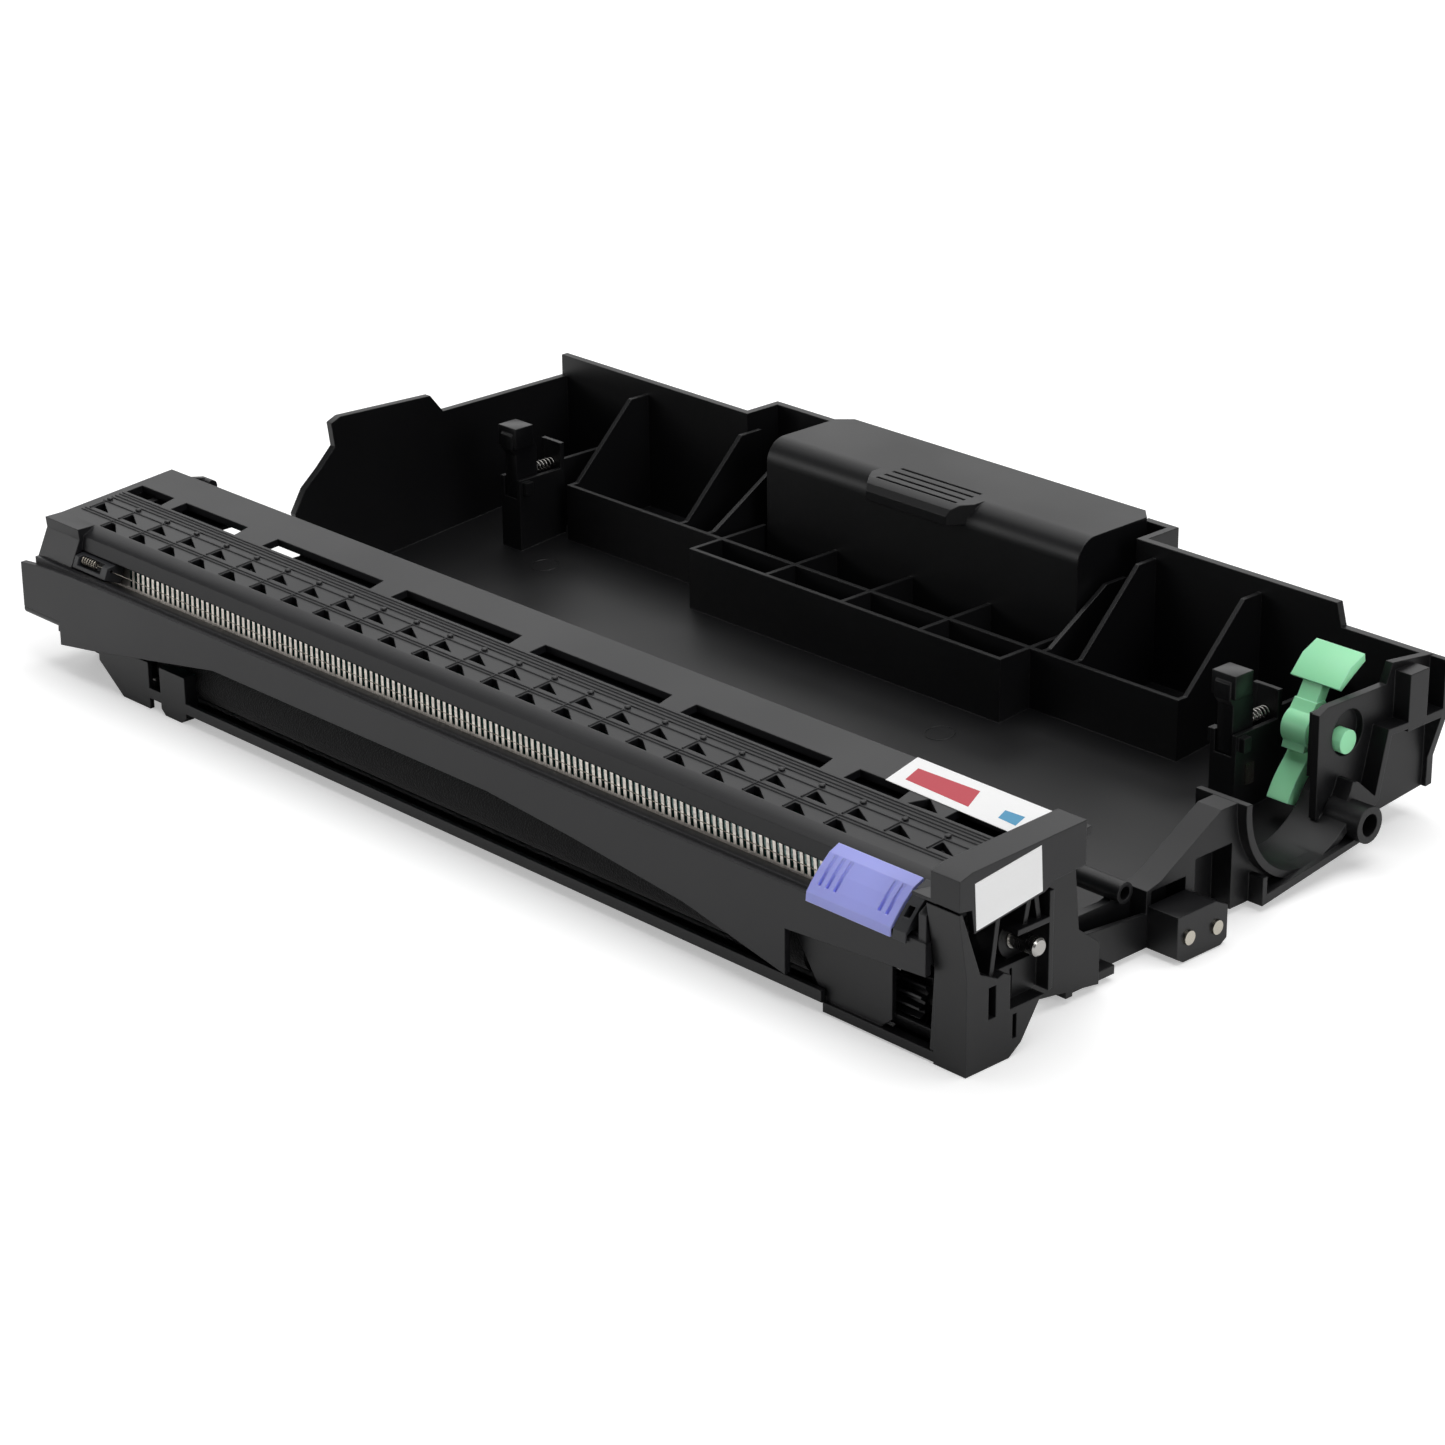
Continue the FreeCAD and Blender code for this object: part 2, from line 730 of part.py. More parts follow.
def press_guides():
    """The pockets for the two press arms, on the floor near the back corners."""
    guides = []
    for side, middle in (("Left", -s.press_x), ("Right", s.press_x)):
        inner = s.press_width / 2 + s.piece_gap
        outer = inner + s.rib
        low = s.floor_z + s.wall
        back = s.press_front + s.press_depth + s.press_travel + 4.0
        for name, near, far in (("A", -outer, -inner), ("B", inner, outer)):
            guides.append(block(f"Guide{side}{name}", (middle + near, middle + far),
                                (s.press_front + 1.0, back + s.rib), (low, s.press_low + 12.0)))
        guides.append(block(f"GuideBack{side}", (middle - outer, middle + outer), (back, back + s.rib),
                            (low, s.press_low + 12.0)))
        guides.append(block(f"GuideFloor{side}", (middle - outer, middle + outer),
                            (s.press_front + 1.0, back + s.rib), (low, s.press_low - s.piece_gap)))
        guides.append(block(f"GuideTie{side}", (middle - s.rib / 2, middle + s.rib / 2),
                            (back, s.back_y + 1.0), (s.floor_z + s.floor_rise, s.press_low + 6.0)))
    return guides


def drum_ends():
    """End walls of the drum section with the arms that carry it, and the open box at the right end."""
    low = 0.0
    wall_outline = [
        (s.end_front, low + 3.0),
        (s.end_front + 2.5, low),
        (s.trough_back - 7.0, low),
        (s.trough_back + 1.0, s.floor_z + 4.0),
        (s.end_back + 8.0, s.floor_z),
        (s.end_back + 8.0, 18.6),
        (s.end_back, 30.5),
        (s.end_back, cover_under(s.end_back) - s.piece_gap),
        (s.cover_front + 4.0, cover_under(s.cover_front + 4.0) - s.piece_gap),
        (s.cover_front - 0.8, 27.5),
        (s.cover_front - 1.8, 22.2),
        (s.end_front + 1.2, 21.5),
    ]
    left = side_plate("EndLeft", wall_outline, (-s.end_left - s.end_wall, -s.end_left))
    right = side_plate("EndRight", wall_outline, (s.end_right, s.end_right + s.end_wall))
    arm_left = block("ArmLeft", (-s.end_left - s.end_wall, -s.tray_half), (s.end_back, s.floor_front + 6.0),
                     (s.floor_z, 7.0))
    arm_right = side_plate("ArmRight", [
        (s.end_back - 1.0, s.floor_z),
        (64.0, s.floor_z),
        (64.0, 18.0),
        (s.end_back - 1.0, 18.6),
    ], (s.cheek_out - s.wall, s.end_right + s.end_wall))
    arm_floor_right = block("ArmFloorRight", (s.tray_half, s.end_right + 1.0), (s.end_back + 1.0, s.floor_front + 6.0),
                            (s.floor_z, s.floor_z + s.wall))
    face = s.end_face
    out = s.end_right + 1.0
    rim = [
        side_plate("BoxRim", [
            (0.0, 0.0),
            (12.5, 0.0),
            (16.0, 2.4),
            (21.5, 10.5),
            (25.0, 12.0),
            (25.0, 33.0),
            (23.4, 33.0),
            (23.4, 20.0),
            (12.0, 17.0),
            (9.0, 18.6),
            (3.8, 21.4),
            (-1.6, 36.2),
            (-2.5, 36.2),
            (0.0, 21.0),
        ], (out, face)),
    ]
    hollow = [
        side_plate("BoxHollowFront", [
            (1.2, 1.4),
            (8.2, 1.4),
            (8.2, 16.8),
            (3.4, 19.4),
            (1.2, 19.4),
        ], (s.end_right + s.end_wall, face - s.rib)),
        side_plate("BoxHollowBack", [
            (9.6, 1.4),
            (12.0, 1.4),
            (15.2, 3.4),
            (20.6, 11.4),
            (23.4, 12.8),
            (23.4, 18.4),
            (12.3, 15.6),
            (9.6, 16.2),
        ], (s.end_right + s.end_wall, face + 1.0)),
        block("BoxSlot", (face - s.rib - 0.5, face + 1.0), (3.6, 5.0), (10.0, 18.0)),
    ]
    box = cut("EndBox", rim[0], hollow)
    spokes = []
    for number, (y_low, z_low, y_high, z_high) in enumerate((
        (8.0, 18.0, 11.0, 31.0),
        (13.2, 17.2, 14.4, 31.8),
    ), start=1):
        spokes.append(side_plate(f"Spoke{number}", [
            (y_low, z_low),
            (y_low + s.rib, z_low),
            (y_high + s.rib, z_high),
            (y_high, z_high),
        ], (out, face - 1.2)))
    shaft_boss = rod("ShaftBoss", (s.drum_y, s.drum_z), s.shaft_r + 2.2, (s.end_right, s.end_right + 4.2))
    walls = fuse("DrumEnds", [left, right, arm_left, arm_right, arm_floor_right, box, shaft_boss] + spokes)
    holes = [
        rod("ShaftHole", (s.drum_y, s.drum_z), s.shaft_r + s.running_gap, (-s.end_left - s.end_wall - 1, face)),
    ]
    return cut("DrumEndsDrilled", walls, holes)


def trough():
    """Trough under the transfer roller: front wall, rounded bottom, back lip and the bearings' guides."""
    centre_y = transfer_y
    bore = s.sleeve_r + 1.4
    profile = [
        (s.trough_front, s.trough_top),
        (s.trough_front, 3.6),
        (1.6, 1.2),
        (4.6, s.trough_bottom),
        (centre_y + 6.0, s.trough_bottom),
        (s.trough_back, 4.4),
        (s.trough_back, 5.8),
        (centre_y + 8.4, 5.4),
        (centre_y + 5.0, 5.4),
        (centre_y + 4.4, s.trough_bottom + s.trough_wall + 1.2),
        (centre_y + 1.0, s.trough_bottom + s.trough_wall),
        (centre_y - 2.0, s.trough_bottom + s.trough_wall),
        (2.4, 3.4),
        (s.trough_front + s.trough_wall, 5.2),
        (s.trough_front + s.trough_wall, s.trough_top),
    ]
    shell = side_plate("TroughShell", profile, (-s.trough_left, s.trough_left))
    rooms = [rod("RollerRoom", (centre_y, transfer_z), bore, (-s.sleeve_half - 1.5, s.sleeve_half + 1.5))]
    guides = []
    for side, middle in (("Left", -s.bearing_x), ("Right", s.bearing_x)):
        inner = s.bearing_half + s.piece_gap
        rooms.append(block(f"BearingRoom{side}",
                           (middle - s.bearing_width / 2 - s.piece_gap, middle + s.bearing_width / 2 + s.piece_gap),
                           (centre_y - inner, centre_y + inner),
                           (s.trough_bottom + s.trough_wall, s.trough_top)))
        for name, near, far in (("Front", -inner - s.rib, -inner), ("Back", inner, inner + s.rib)):
            guides.append(block(f"BearingGuide{side}{name}",
                                (middle - s.bearing_width / 2, middle + s.bearing_width / 2),
                                (centre_y + near, centre_y + far), (s.trough_bottom, transfer_z + s.bearing_guide)))
    shell = cut("TroughCut", shell, rooms)
    ties = []
    for side, near, far in (("Left", -s.end_left - s.end_wall, 0.2 - s.trough_left),
                            ("Right", s.trough_left - 0.2, s.end_right + s.end_wall)):
        ties.append(block(f"TroughTieFront{side}", (near, far), (s.end_front, s.end_front + 2.4),
                          (s.trough_bottom, s.trough_bottom + 2.2)))
        ties.append(block(f"TroughTieBack{side}", (near, far), (centre_y + 7.4, centre_y + 10.6),
                          (s.trough_bottom + 1.6, s.trough_bottom + 4.6)))
    front_right = front_plate("TroughFrontRight", [
        (s.end_step, 4.6),
        (s.trough_left + 2.6, 0.0),
        (s.trough_left + 12.6, 0.0),
        (s.trough_left + 18.6, 5.0),
        (s.trough_left + 18.6, 17.0),
        (s.end_step, 16.0),
    ], (s.trough_front, s.trough_front + s.trough_wall))
    front_left = front_plate("TroughFrontLeft", [
        (-s.trough_left - 9.0, 7.0),
        (-s.trough_left - 1.0, 0.0),
        (-s.trough_left + 18.0, 0.0),
        (-s.trough_left + 22.0, 3.6),
        (-s.trough_left + 22.0, 13.0),
        (-s.trough_left - 9.0, 13.0),
    ], (s.trough_front, s.trough_front + s.trough_wall))
    return [shell, front_right, front_left] + ties + guides


tray_frame = fuse("TrayFrame", tray_shell() + runners() + rib_box() + handle() + right_side() + press_guides()
                  + [drum_ends()] + trough())
finish("tray_frame", tray_frame)


# Cover over the drum


def cover_shell():
    """The cover's sheet with its front lip at the charging slot and its back skirt, holed in rows."""
    body = new_body("CoverShell")
    profile = [
        (s.cover_back, s.cover_back_z),
        (s.cover_front, s.cover_front_z),
        (s.slot_edge_y + 0.8, s.cover_front_z - 2.0),
        (s.slot_edge_y, s.slot_edge_z),
        (s.slot_edge_y + 4.4, s.slot_edge_z + 0.8),
        (s.slot_edge_y + 4.4, s.slot_edge_z + 2.0),
        (s.slot_edge_y + 2.4, s.slot_edge_z + 2.0),
        (s.cover_front, cover_under(s.cover_front)),
        (s.cover_back - s.cover_sheet, cover_under(s.cover_back - s.cover_sheet)),
        (s.cover_back - s.cover_sheet, s.cover_back_z - s.cover_skirt),
        (s.cover_back, s.cover_back_z - s.cover_skirt),
    ]
    sheet_sketch = sketch_on(body, "CoverProfile", "YZ_Plane", -s.cover_left, [profile])
    pad(body, sheet_sketch, s.cover_left + s.hood_left + 0.5, "CoverPad")
    height = s.cover_back_z + 2
    for name, middle, first, count in (
        ("HolesBack", s.hole_row_back, s.hole_row_start, s.hole_count_back),
        ("HolesFront", s.hole_row_front, s.hole_row_start + s.hole_pitch, s.hole_count_front),
    ):
        half = s.hole_depth / 2
        lean = s.hole_depth / 2
        outline = [
            (first - s.hole_length / 2 - lean, middle - half),
            (first + s.hole_length / 2 - lean, middle - half),
            (first + s.hole_length / 2 + lean, middle + half),
            (first - s.hole_length / 2 + lean, middle + half),
        ]
        outline_sketch = sketch_on(body, f"{name}Outline", "XY_Plane", height, [outline])
        hole = pocket(body, outline_sketch, s.cover_sheet * 4, f"{name}Pocket")
        repeat_along(body, hole, outline_sketch, s.hole_pitch, count, f"{name}Row")
    slots = []
    for first, last in ((-152.5, -138.0), (-134.0, -107.9), (-97.0, -55.6), (-48.0, -5.8), (1.2, 44.3),
                        (51.0, 94.0), (101.0, 117.0), (130.0, 147.0)):
        slots.append([
            (first, s.slot_front),
            (last - 4.0, s.slot_front),
            (last, s.slot_back),
            (first + 4.0, s.slot_back),
        ])
    slots.append([(119.4, s.slot_front), (127.6, s.slot_front + 0.4), (121.8, s.slot_back - 0.6)])
    slot_sketch = sketch_on(body, "SlotOutlines", "XY_Plane", height, slots)
    pocket(body, slot_sketch, s.cover_sheet * 4, "SlotPocket")
    return body


def apron():
    """The front sheet below the charging slot, with the arch over the paper's way out."""
    top = s.apron_top
    arch = s.apron_arch
    left_tab = 2.4
    sheet_body = front_plate("ApronSheet", [
        (-s.cover_left - left_tab, 14.0),
        (-142.5, 14.0),
        (-142.5, 7.7),
        (-129.0, 9.8),
        (-79.4, arch),
        (20.0, arch),
        (48.0, arch - 2.1),
        (83.0, arch - 5.7),
        (s.end_step, 6.8),
        (s.end_step, arch - 1.5),
        (s.end_right + 1.0, arch + 1.3),
        (s.end_right + 1.0, top),
        (-136.0, top),
        (-150.0, top - 0.8),
        (-s.cover_left - left_tab, top - 1.6),
    ], (s.apron_front, s.apron_front + s.apron_sheet))
    inner = s.apron_front + s.apron_sheet
    seat = s.grid_distance + s.grid_sheet / 2 + s.piece_gap
    lip = side_plate("SlotLip", [
        (inner - 0.8, top - 2.6),
        (inner, top - 2.6),
        channel(seat, -4.3),
        channel(seat, -2.9),
        (inner + 0.9, top + 0.6),
        (inner - 0.1, top + 0.6),
        (inner - 0.1, top - 1.4),
        (inner - 0.8, top - 1.4),
    ], (-s.cover_left + s.wall, s.end_right + 1.0 - s.piece_gap))
    return [sheet_body, lip]


def cover_ends():
    """The closed left end, the holder's pocket on the right and the raised hood at the right end."""
    left = -s.cover_left
    end_outline = [
        (s.cover_back, s.cover_back_z),
        (s.cover_front, s.cover_front_z),
        (4.0, s.cover_front_z),
        (4.3, 33.7),
        (-0.1, 24.3),
        (-0.1, 12.0),
        (8.0, 10.0),
        (s.cover_back - 6.0, 12.0),
        (s.cover_back, 22.0),
    ]
    end_plate = side_plate("CoverEndLeft", end_outline, (left, left + s.cover_sheet))
    end_front = side_plate("CoverFaceLeft", [
        (s.cover_front, s.cover_front_z),
        (4.0, s.cover_front_z),
        (4.3, 33.7),
        (-0.1, 24.3),
        (s.apron_front + s.apron_sheet - 0.1, 24.3),
        (s.apron_front + s.apron_sheet - 0.1, 22.6),
        (1.4, 22.8),
        (5.8, 33.2),
        (5.6, 34.6),
        (s.cover_front, 34.6),
    ], (left, s.holder_left - s.piece_gap))
    hood = side_plate("Hood", [
        (-2.4, 36.8),
        (-2.4, 43.4),
        (1.2, s.hood_top - 0.9),
        (s.hood_back, s.hood_top),
        (s.hood_back, 35.4),
        (25.2, 35.0),
        (22.2, 33.4),
        (2.0, s.hood_low - 0.6),
        (1.2, 36.2),
    ], (s.hood_left, s.end_face))
    hood_hollow = side_plate("HoodHollow", [
        (-0.8, 35.0),
        (-0.8, 42.4),
        (1.6, s.hood_top - 2.4),
        (s.hood_back - s.hood_sheet, s.hood_top - s.hood_sheet),
        (s.hood_back - s.hood_sheet, 33.0),
        (2.0, 29.0),
    ], (s.hood_left + s.hood_sheet, s.end_face - s.hood_sheet))
    hood = cut("HoodCut", hood, [hood_hollow])
    hood_foot = side_plate("HoodFoot", [
        (-2.4, 36.7),
        (1.5, 36.4),
        (s.cover_front, cover_under(s.cover_front)),
        (s.cover_back, cover_under(s.cover_back)),
        (s.cover_back, s.cover_back_z),
        (s.cover_front, s.cover_front_z),
        (4.2, s.cover_front_z),
        (-2.4, 37.4),
    ], (s.hood_left - 5.0, s.hood_left + s.hood_sheet))
    right_tie = side_plate("CoverTieRight", [
        (s.apron_front + 0.4, 22.0),
        (1.4, 22.0),
        (3.6, 30.0),
        (8.4, 33.6),
        (8.4, 36.0),
        (3.0, 36.0),
        (s.apron_front + 0.4, 33.0),
    ], (s.end_right - 1.3, s.end_right + 1.0 - s.piece_gap))
    return [end_plate, end_front, hood, hood_foot, right_tie]


cover_peg = rod("CoverPeg", (s.cover_back + 9.0, 33.6), 1.6, (-s.cover_left, -s.cover_left + 4.4))
cover_arm = side_plate("CoverPegArm", [
    (s.cover_back - 1.0, 30.0),
    (s.cover_back + 9.0, 32.0),
    (s.cover_back + 9.0, 35.2),
    (s.cover_back - 1.0, 37.4),
], (-s.cover_left, -s.cover_left + s.cover_sheet))
drum_cover = fuse("DrumCover", [cover_shell(), cover_peg, cover_arm] + apron() + cover_ends())
finish("drum_cover", drum_cover)


# Charging unit


def tab_outline():
    """Outer face of the wire cleaner and of the right holder, from the cover down over the apron."""
    return [
        (6.4, 35.2),
        (6.1, 35.8),
        (3.4, 34.7),
        (0.6, 32.3),
        (-1.8, 29.8),
        (s.apron_front - 0.6, s.apron_top + 0.8),
        (s.apron_front - 0.8, 26.0),
        (s.apron_front - s.piece_gap, 26.0),
        (s.apron_front - s.piece_gap, s.apron_top + 0.3),
        (-1.5, s.apron_top + 1.0),
        channel(20.4, -2.4),
    ]


def tab_hook():
    """The last points of the tab's outline, along the cover's front edge."""
    return [
        channel(17.14, 2.1),
        (5.25, 34.5),
    ]


def charge_grid():
    """The steel sheet with its slanted slits, placed across the charging channel."""
    body = new_body("GridSheet")
    low = -s.grid_half
    blank = sketch_on(body, "GridBlank", "XY_Plane", -s.grid_sheet / 2, [[
        (s.grid_left, low),
        (s.grid_right, low),
        (s.grid_right, s.grid_half),
        (s.grid_left, s.grid_half),
    ]])
    pad(body, blank, s.grid_sheet, "GridPad")
    slit = sketch_on(body, "GridSlit", "XY_Plane", s.grid_sheet, [[
        (s.slit_start, -s.slit_reach),
        (s.slit_start + s.slit_width, -s.slit_reach),
        (s.slit_start + s.slit_width - s.slit_reach, s.slit_reach),
        (s.slit_start - s.slit_reach, s.slit_reach),
    ]])
    opening = pocket(body, slit, s.grid_sheet * 3, "GridSlitPocket")
    repeat_along(body, opening, slit, s.slit_pitch, s.slit_count, "GridSlits")
    body.Placement.Rotation = FreeCAD.Rotation(FreeCAD.Vector(1, 0, 0), 90 - float(s.channel_lean))
    place = channel(s.grid_distance, 0)
    bind(body, "Placement.Base.y", place[0])
    bind(body, "Placement.Base.z", place[1])
    return body


def wire_holders():
    """The insulating blocks at the wire's ends, the left one with the room for the wire's spring."""
    seat = s.grid_distance + s.grid_sheet / 2 + s.piece_gap
    wire = channel(s.wire_distance, 0)
    left = side_plate("HolderLeft", [
        channel(seat, -2.5),
        channel(18.6, -2.4),
        channel(18.6, 0.6),
        channel(16.8, 1.7),
        channel(seat, 3.5),
    ], (s.holder_left, s.holder_left_end))
    room = side_plate("HolderRoom", [
        channel(15.4, -1.5),
        channel(20.0, -1.5),
        channel(20.0, 1.2),
        channel(15.4, 1.2),
    ], (s.holder_left + 1.6, s.holder_left_end - 2.4))
    hole = rod("HolderHole", wire, s.wire_r + s.piece_gap, (s.holder_left_end - 3.0, s.holder_left_end + 1.0))
    left = cut("HolderLeftCut", left, [room, hole])
    right = side_plate("HolderRight", tab_outline() + [
        channel(seat, -2.5),
        channel(seat, 3.4),
        channel(16.6, 1.7),
    ] + tab_hook(), (s.holder_right_end, s.holder_right))
    window = side_plate("HolderWindow", [
        channel(18.6, -0.8),
        channel(24.0, -0.8),
        channel(24.0, 1.6),
        channel(18.6, 1.6),
    ], (s.holder_right_end + 0.9, s.holder_right - 0.9))
    return left, cut("HolderRightCut", right, [window])


def wire_cleaner():
    """The sliding tab with its grip grooves, and the two pads that wipe the wire."""
    seat = s.wire_distance + 1.2
    tab = side_plate("CleanerTab", tab_outline() + [
        channel(seat, -2.4),
        channel(seat, 1.3),
    ] + tab_hook(), (s.cleaner_left, s.cleaner_right))
    grooves = []
    for number, place in enumerate((1.8, 4.0, 6.2, 18.6, 20.8), start=1):
        grooves.append(side_plate(f"CleanerGroove{number}", [
            (4.4, 36.4),
            (2.9, 33.9),
            (0.7, 31.7),
            (-1.0, 29.2),
            (-2.8, 30.0),
            (-0.6, 33.6),
        ], (s.cleaner_left + place, s.cleaner_left + place + 1.0)))
    tab = cut("CleanerGrooved", tab, grooves)
    middle = (s.cleaner_left + s.cleaner_right) / 2
    pads = []
    for name, near, far in (("Upper", s.wire_r + 0.1, 1.3), ("Lower", -1.5, -s.wire_r - 0.1)):
        pads.append(side_plate(f"Pad{name}", [
            channel(s.wire_distance - 1.0, near),
            channel(seat, near),
            channel(seat, far),
            channel(s.wire_distance - 1.0, far),
        ], (middle - s.pad_width / 2, middle + s.pad_width / 2)))
    return tab, pads


finish("charge_grid", charge_grid())
holder_left, holder_right = wire_holders()
finish("wire_holder_left", holder_left)
finish("wire_holder_right", holder_right)
wire_place = channel(s.wire_distance, 0)
wire_start = s.holder_left + 1.6 + s.wire_spring_length + s.piece_gap
finish("corona_wire", rod("CoronaWire", wire_place, s.wire_r, (wire_start, s.holder_right_end)))
along_x = FreeCAD.Rotation(FreeCAD.Vector(0, 1, 0), 90)
wire_spring = coil("WireSpring", (s.holder_left + 1.6 + 2 * s.wire_r, wire_place[0], wire_place[1]), along_x,
                   s.wire_spring_r, s.wire_r * 1.5, s.wire_spring_length, 6)
finish("wire_spring", wire_spring)
cleaner_tab, cleaner_pads = wire_cleaner()
finish("wire_cleaner", cleaner_tab)
finish("cleaner_pads", *cleaner_pads)


# Drum and cleaning brush


def gear_blank(name, teeth, centre, lean):
    """A toothed wheel about the X axis, turned by lean degrees and placed at its centre."""
    body = new_body(name)
    pitch_r = s.gear_module * teeth / 2
    root_r = pitch_r - s.gear_module * 1.25
    tip_r = pitch_r + s.gear_module
    step = s.gear_module * math.pi
    blank = sketch_on(body, f"{name}Disc", "YZ_Plane", s.gear_left, (), [(0, 0, root_r)])
    pad(body, blank, s.gear_width, f"{name}DiscPad")
    outline = [
        (root_r - s.gear_module / 2, -step * 0.3),
        (pitch_r, -step * 0.195),
        (tip_r, -step * 0.12),
        (tip_r, step * 0.12),
        (pitch_r, step * 0.195),
        (root_r - s.gear_module / 2, step * 0.3),
    ]
    tooth_sketch = sketch_on(body, f"{name}Tooth", "YZ_Plane", s.gear_left, [outline])
    tooth = pad(body, tooth_sketch, s.gear_width, f"{name}ToothPad")
    pattern = body.newObject("PartDesign::PolarPattern", f"{name}Teeth")
    pattern.Originals = [tooth]
    pattern.Axis = (tooth_sketch, ["N_Axis"])
    pattern.Angle = 360
    bind(pattern, "Occurrences", teeth)
    tooth.Visibility = False
    body.Tip = pattern
    body.Placement.Rotation = FreeCAD.Rotation(FreeCAD.Vector(1, 0, 0), lean)
    bind(body, "Placement.Base.y", centre[0])
    bind(body, "Placement.Base.z", centre[1])
    return body


drum_place = (s.drum_y, s.drum_z)
bore_r = s.shaft_r + s.running_gap
tube_bore = s.drum_r - s.tube_wall
mesh_lean = math.degrees(math.atan2(transfer_z - s.drum_z, transfer_y - s.drum_y))

photo_drum = cut("PhotoDrum", rod("DrumTube", drum_place, s.drum_r, (-s.tube_half, s.tube_half)), [
    rod("DrumTubeBore", drum_place, tube_bore, (-s.tube_half - 1, s.tube_half + 1)),
])
finish("photo_drum", photo_drum)

flange_left = fuse("FlangeLeftSolid", [
    rod("FlangePlug", drum_place, tube_bore - s.running_gap, (-s.tube_half, s.flange_plug - s.tube_half)),
    rod("FlangeRim", drum_place, s.drum_r, (-s.tube_half - s.flange_rim, -s.tube_half)),
    rod("FlangeNeck", drum_place, s.hub_r, (s.piece_gap - s.end_left, -s.tube_half)),
])
finish("drum_flange_left", cut("FlangeLeft", flange_left, [
    rod("FlangeBore", drum_place, bore_r, (-s.end_left, s.flange_plug + 1 - s.tube_half)),
]))

drum_gear = fuse("DrumGearSolid", [
    gear_blank("DrumGear", s.drum_teeth, drum_place, mesh_lean),
    rod("GearPlug", drum_place, tube_bore - s.running_gap, (s.tube_half - s.flange_plug, s.tube_half)),
    rod("GearRim", drum_place, s.drum_r, (s.tube_half, s.tube_half + s.flange_rim)),
    rod("GearNeck", drum_place, s.drum_r - 2.5, (s.tube_half, s.gear_left + 1)),
    rod("GearHub", drum_place, s.hub_r, (s.gear_left, s.end_right - s.piece_gap)),
])
finish("drum_gear", cut("DrumGearBored", drum_gear, [
    rod("GearBore", drum_place, bore_r, (s.tube_half - s.flange_plug - 1, s.end_right)),
]))

clip_left = -s.end_left - s.end_wall - 1.3
stub = rod("ShaftStub", drum_place, s.stub_r, (s.stub_left, s.shaft_tip))
shaft = cut("ShaftGrooved", rod("ShaftRod", drum_place, s.shaft_r, (-s.shaft_left, s.stub_left)), [
    cut("ShaftGroove", rod("GrooveOuter", drum_place, s.shaft_r + 1, (clip_left, clip_left + 0.7)), [
        rod("GrooveInner", drum_place, s.shaft_r - 0.4, (clip_left - 1, clip_left + 1.7)),
    ]),
])
chamfered = document.addObject("Part::Cone", "ShaftTip")
bind(chamfered, "Radius1", s.stub_r)
bind(chamfered, "Radius2", s.stub_r - s.shaft_chamfer)
bind(chamfered, "Height", s.shaft_chamfer)
chamfered.Placement.Rotation = along_x
bind(chamfered, "Placement.Base.x", s.shaft_tip)
bind(chamfered, "Placement.Base.y", s.drum_y)
bind(chamfered, "Placement.Base.z", s.drum_z)
finish("drum_shaft", fuse("DrumShaft", [shaft, stub, chamfered]))

clip_tools = [
    rod("ClipBore", drum_place, s.shaft_r - 0.35, (clip_left - 1, clip_left + 1.5)),
    block("ClipMouth", (clip_left - 1, clip_left + 1.5), (s.drum_y - 1.3, s.drum_y + 1.3),
          (s.drum_z - 6, s.drum_z)),
]
finish("shaft_clip", cut("ShaftClip", rod("ClipDisc", drum_place, s.shaft_r + 1.8, (clip_left + 0.1, clip_left + 0.6)),
                         clip_tools))

plate_left = s.flange_plug - s.tube_half
plate_tools = [rod("PlateBore", drum_place, bore_r, (plate_left - 1, plate_left + 2))]
for number, place in enumerate((-7.4, 7.4), start=1):
    plate_tools.append(block(f"PlateNotch{number}", (plate_left - 1, plate_left + 2),
                             (s.drum_y + place - 1.8, s.drum_y + place + 1.8),
                             (s.drum_z - 5.0, s.drum_z + s.drum_r)))
finish("drum_earth_plate", cut("EarthPlate", rod("PlateDisc", drum_place, tube_bore - s.running_gap,
                                                 (plate_left, plate_left + s.earth_plate)), plate_tools))

brush_back = s.apron_front + s.apron_sheet
brush_tip = s.drum_y - s.drum_r - s.piece_gap
finish("cleaning_brush", side_plate("CleaningBrush", [
    (brush_back, s.brush_low),
    (brush_tip, s.brush_low + 0.6),
    (brush_tip, s.brush_high - 0.6),
    (brush_back, s.brush_high),
], (-s.brush_half, s.brush_half)))


# Transfer roller with its sprung bearings


transfer_place = (transfer_y, transfer_z)
sleeve = cut("TransferSleeve", rod("SleeveOuter", transfer_place, s.sleeve_r, (-s.sleeve_half, s.sleeve_half)), [
    rod("SleeveBore", transfer_place, s.spindle_r + s.running_gap, (-s.sleeve_half - 1, s.sleeve_half + 1)),
])
finish("transfer_sleeve", sleeve)
finish("transfer_shaft", rod("TransferShaft", transfer_place, s.spindle_r, (-s.spindle_left, s.spindle_right)))
transfer_gear = cut("TransferGearBored", gear_blank("TransferGear", s.transfer_teeth, transfer_place,
                                                    mesh_lean + 180 + 180 / float(s.transfer_teeth)), [
    rod("TransferGearBore", transfer_place, s.spindle_r + s.running_gap, (s.gear_left - 1, s.gear_left + 20)),
])
finish("transfer_gear", transfer_gear)

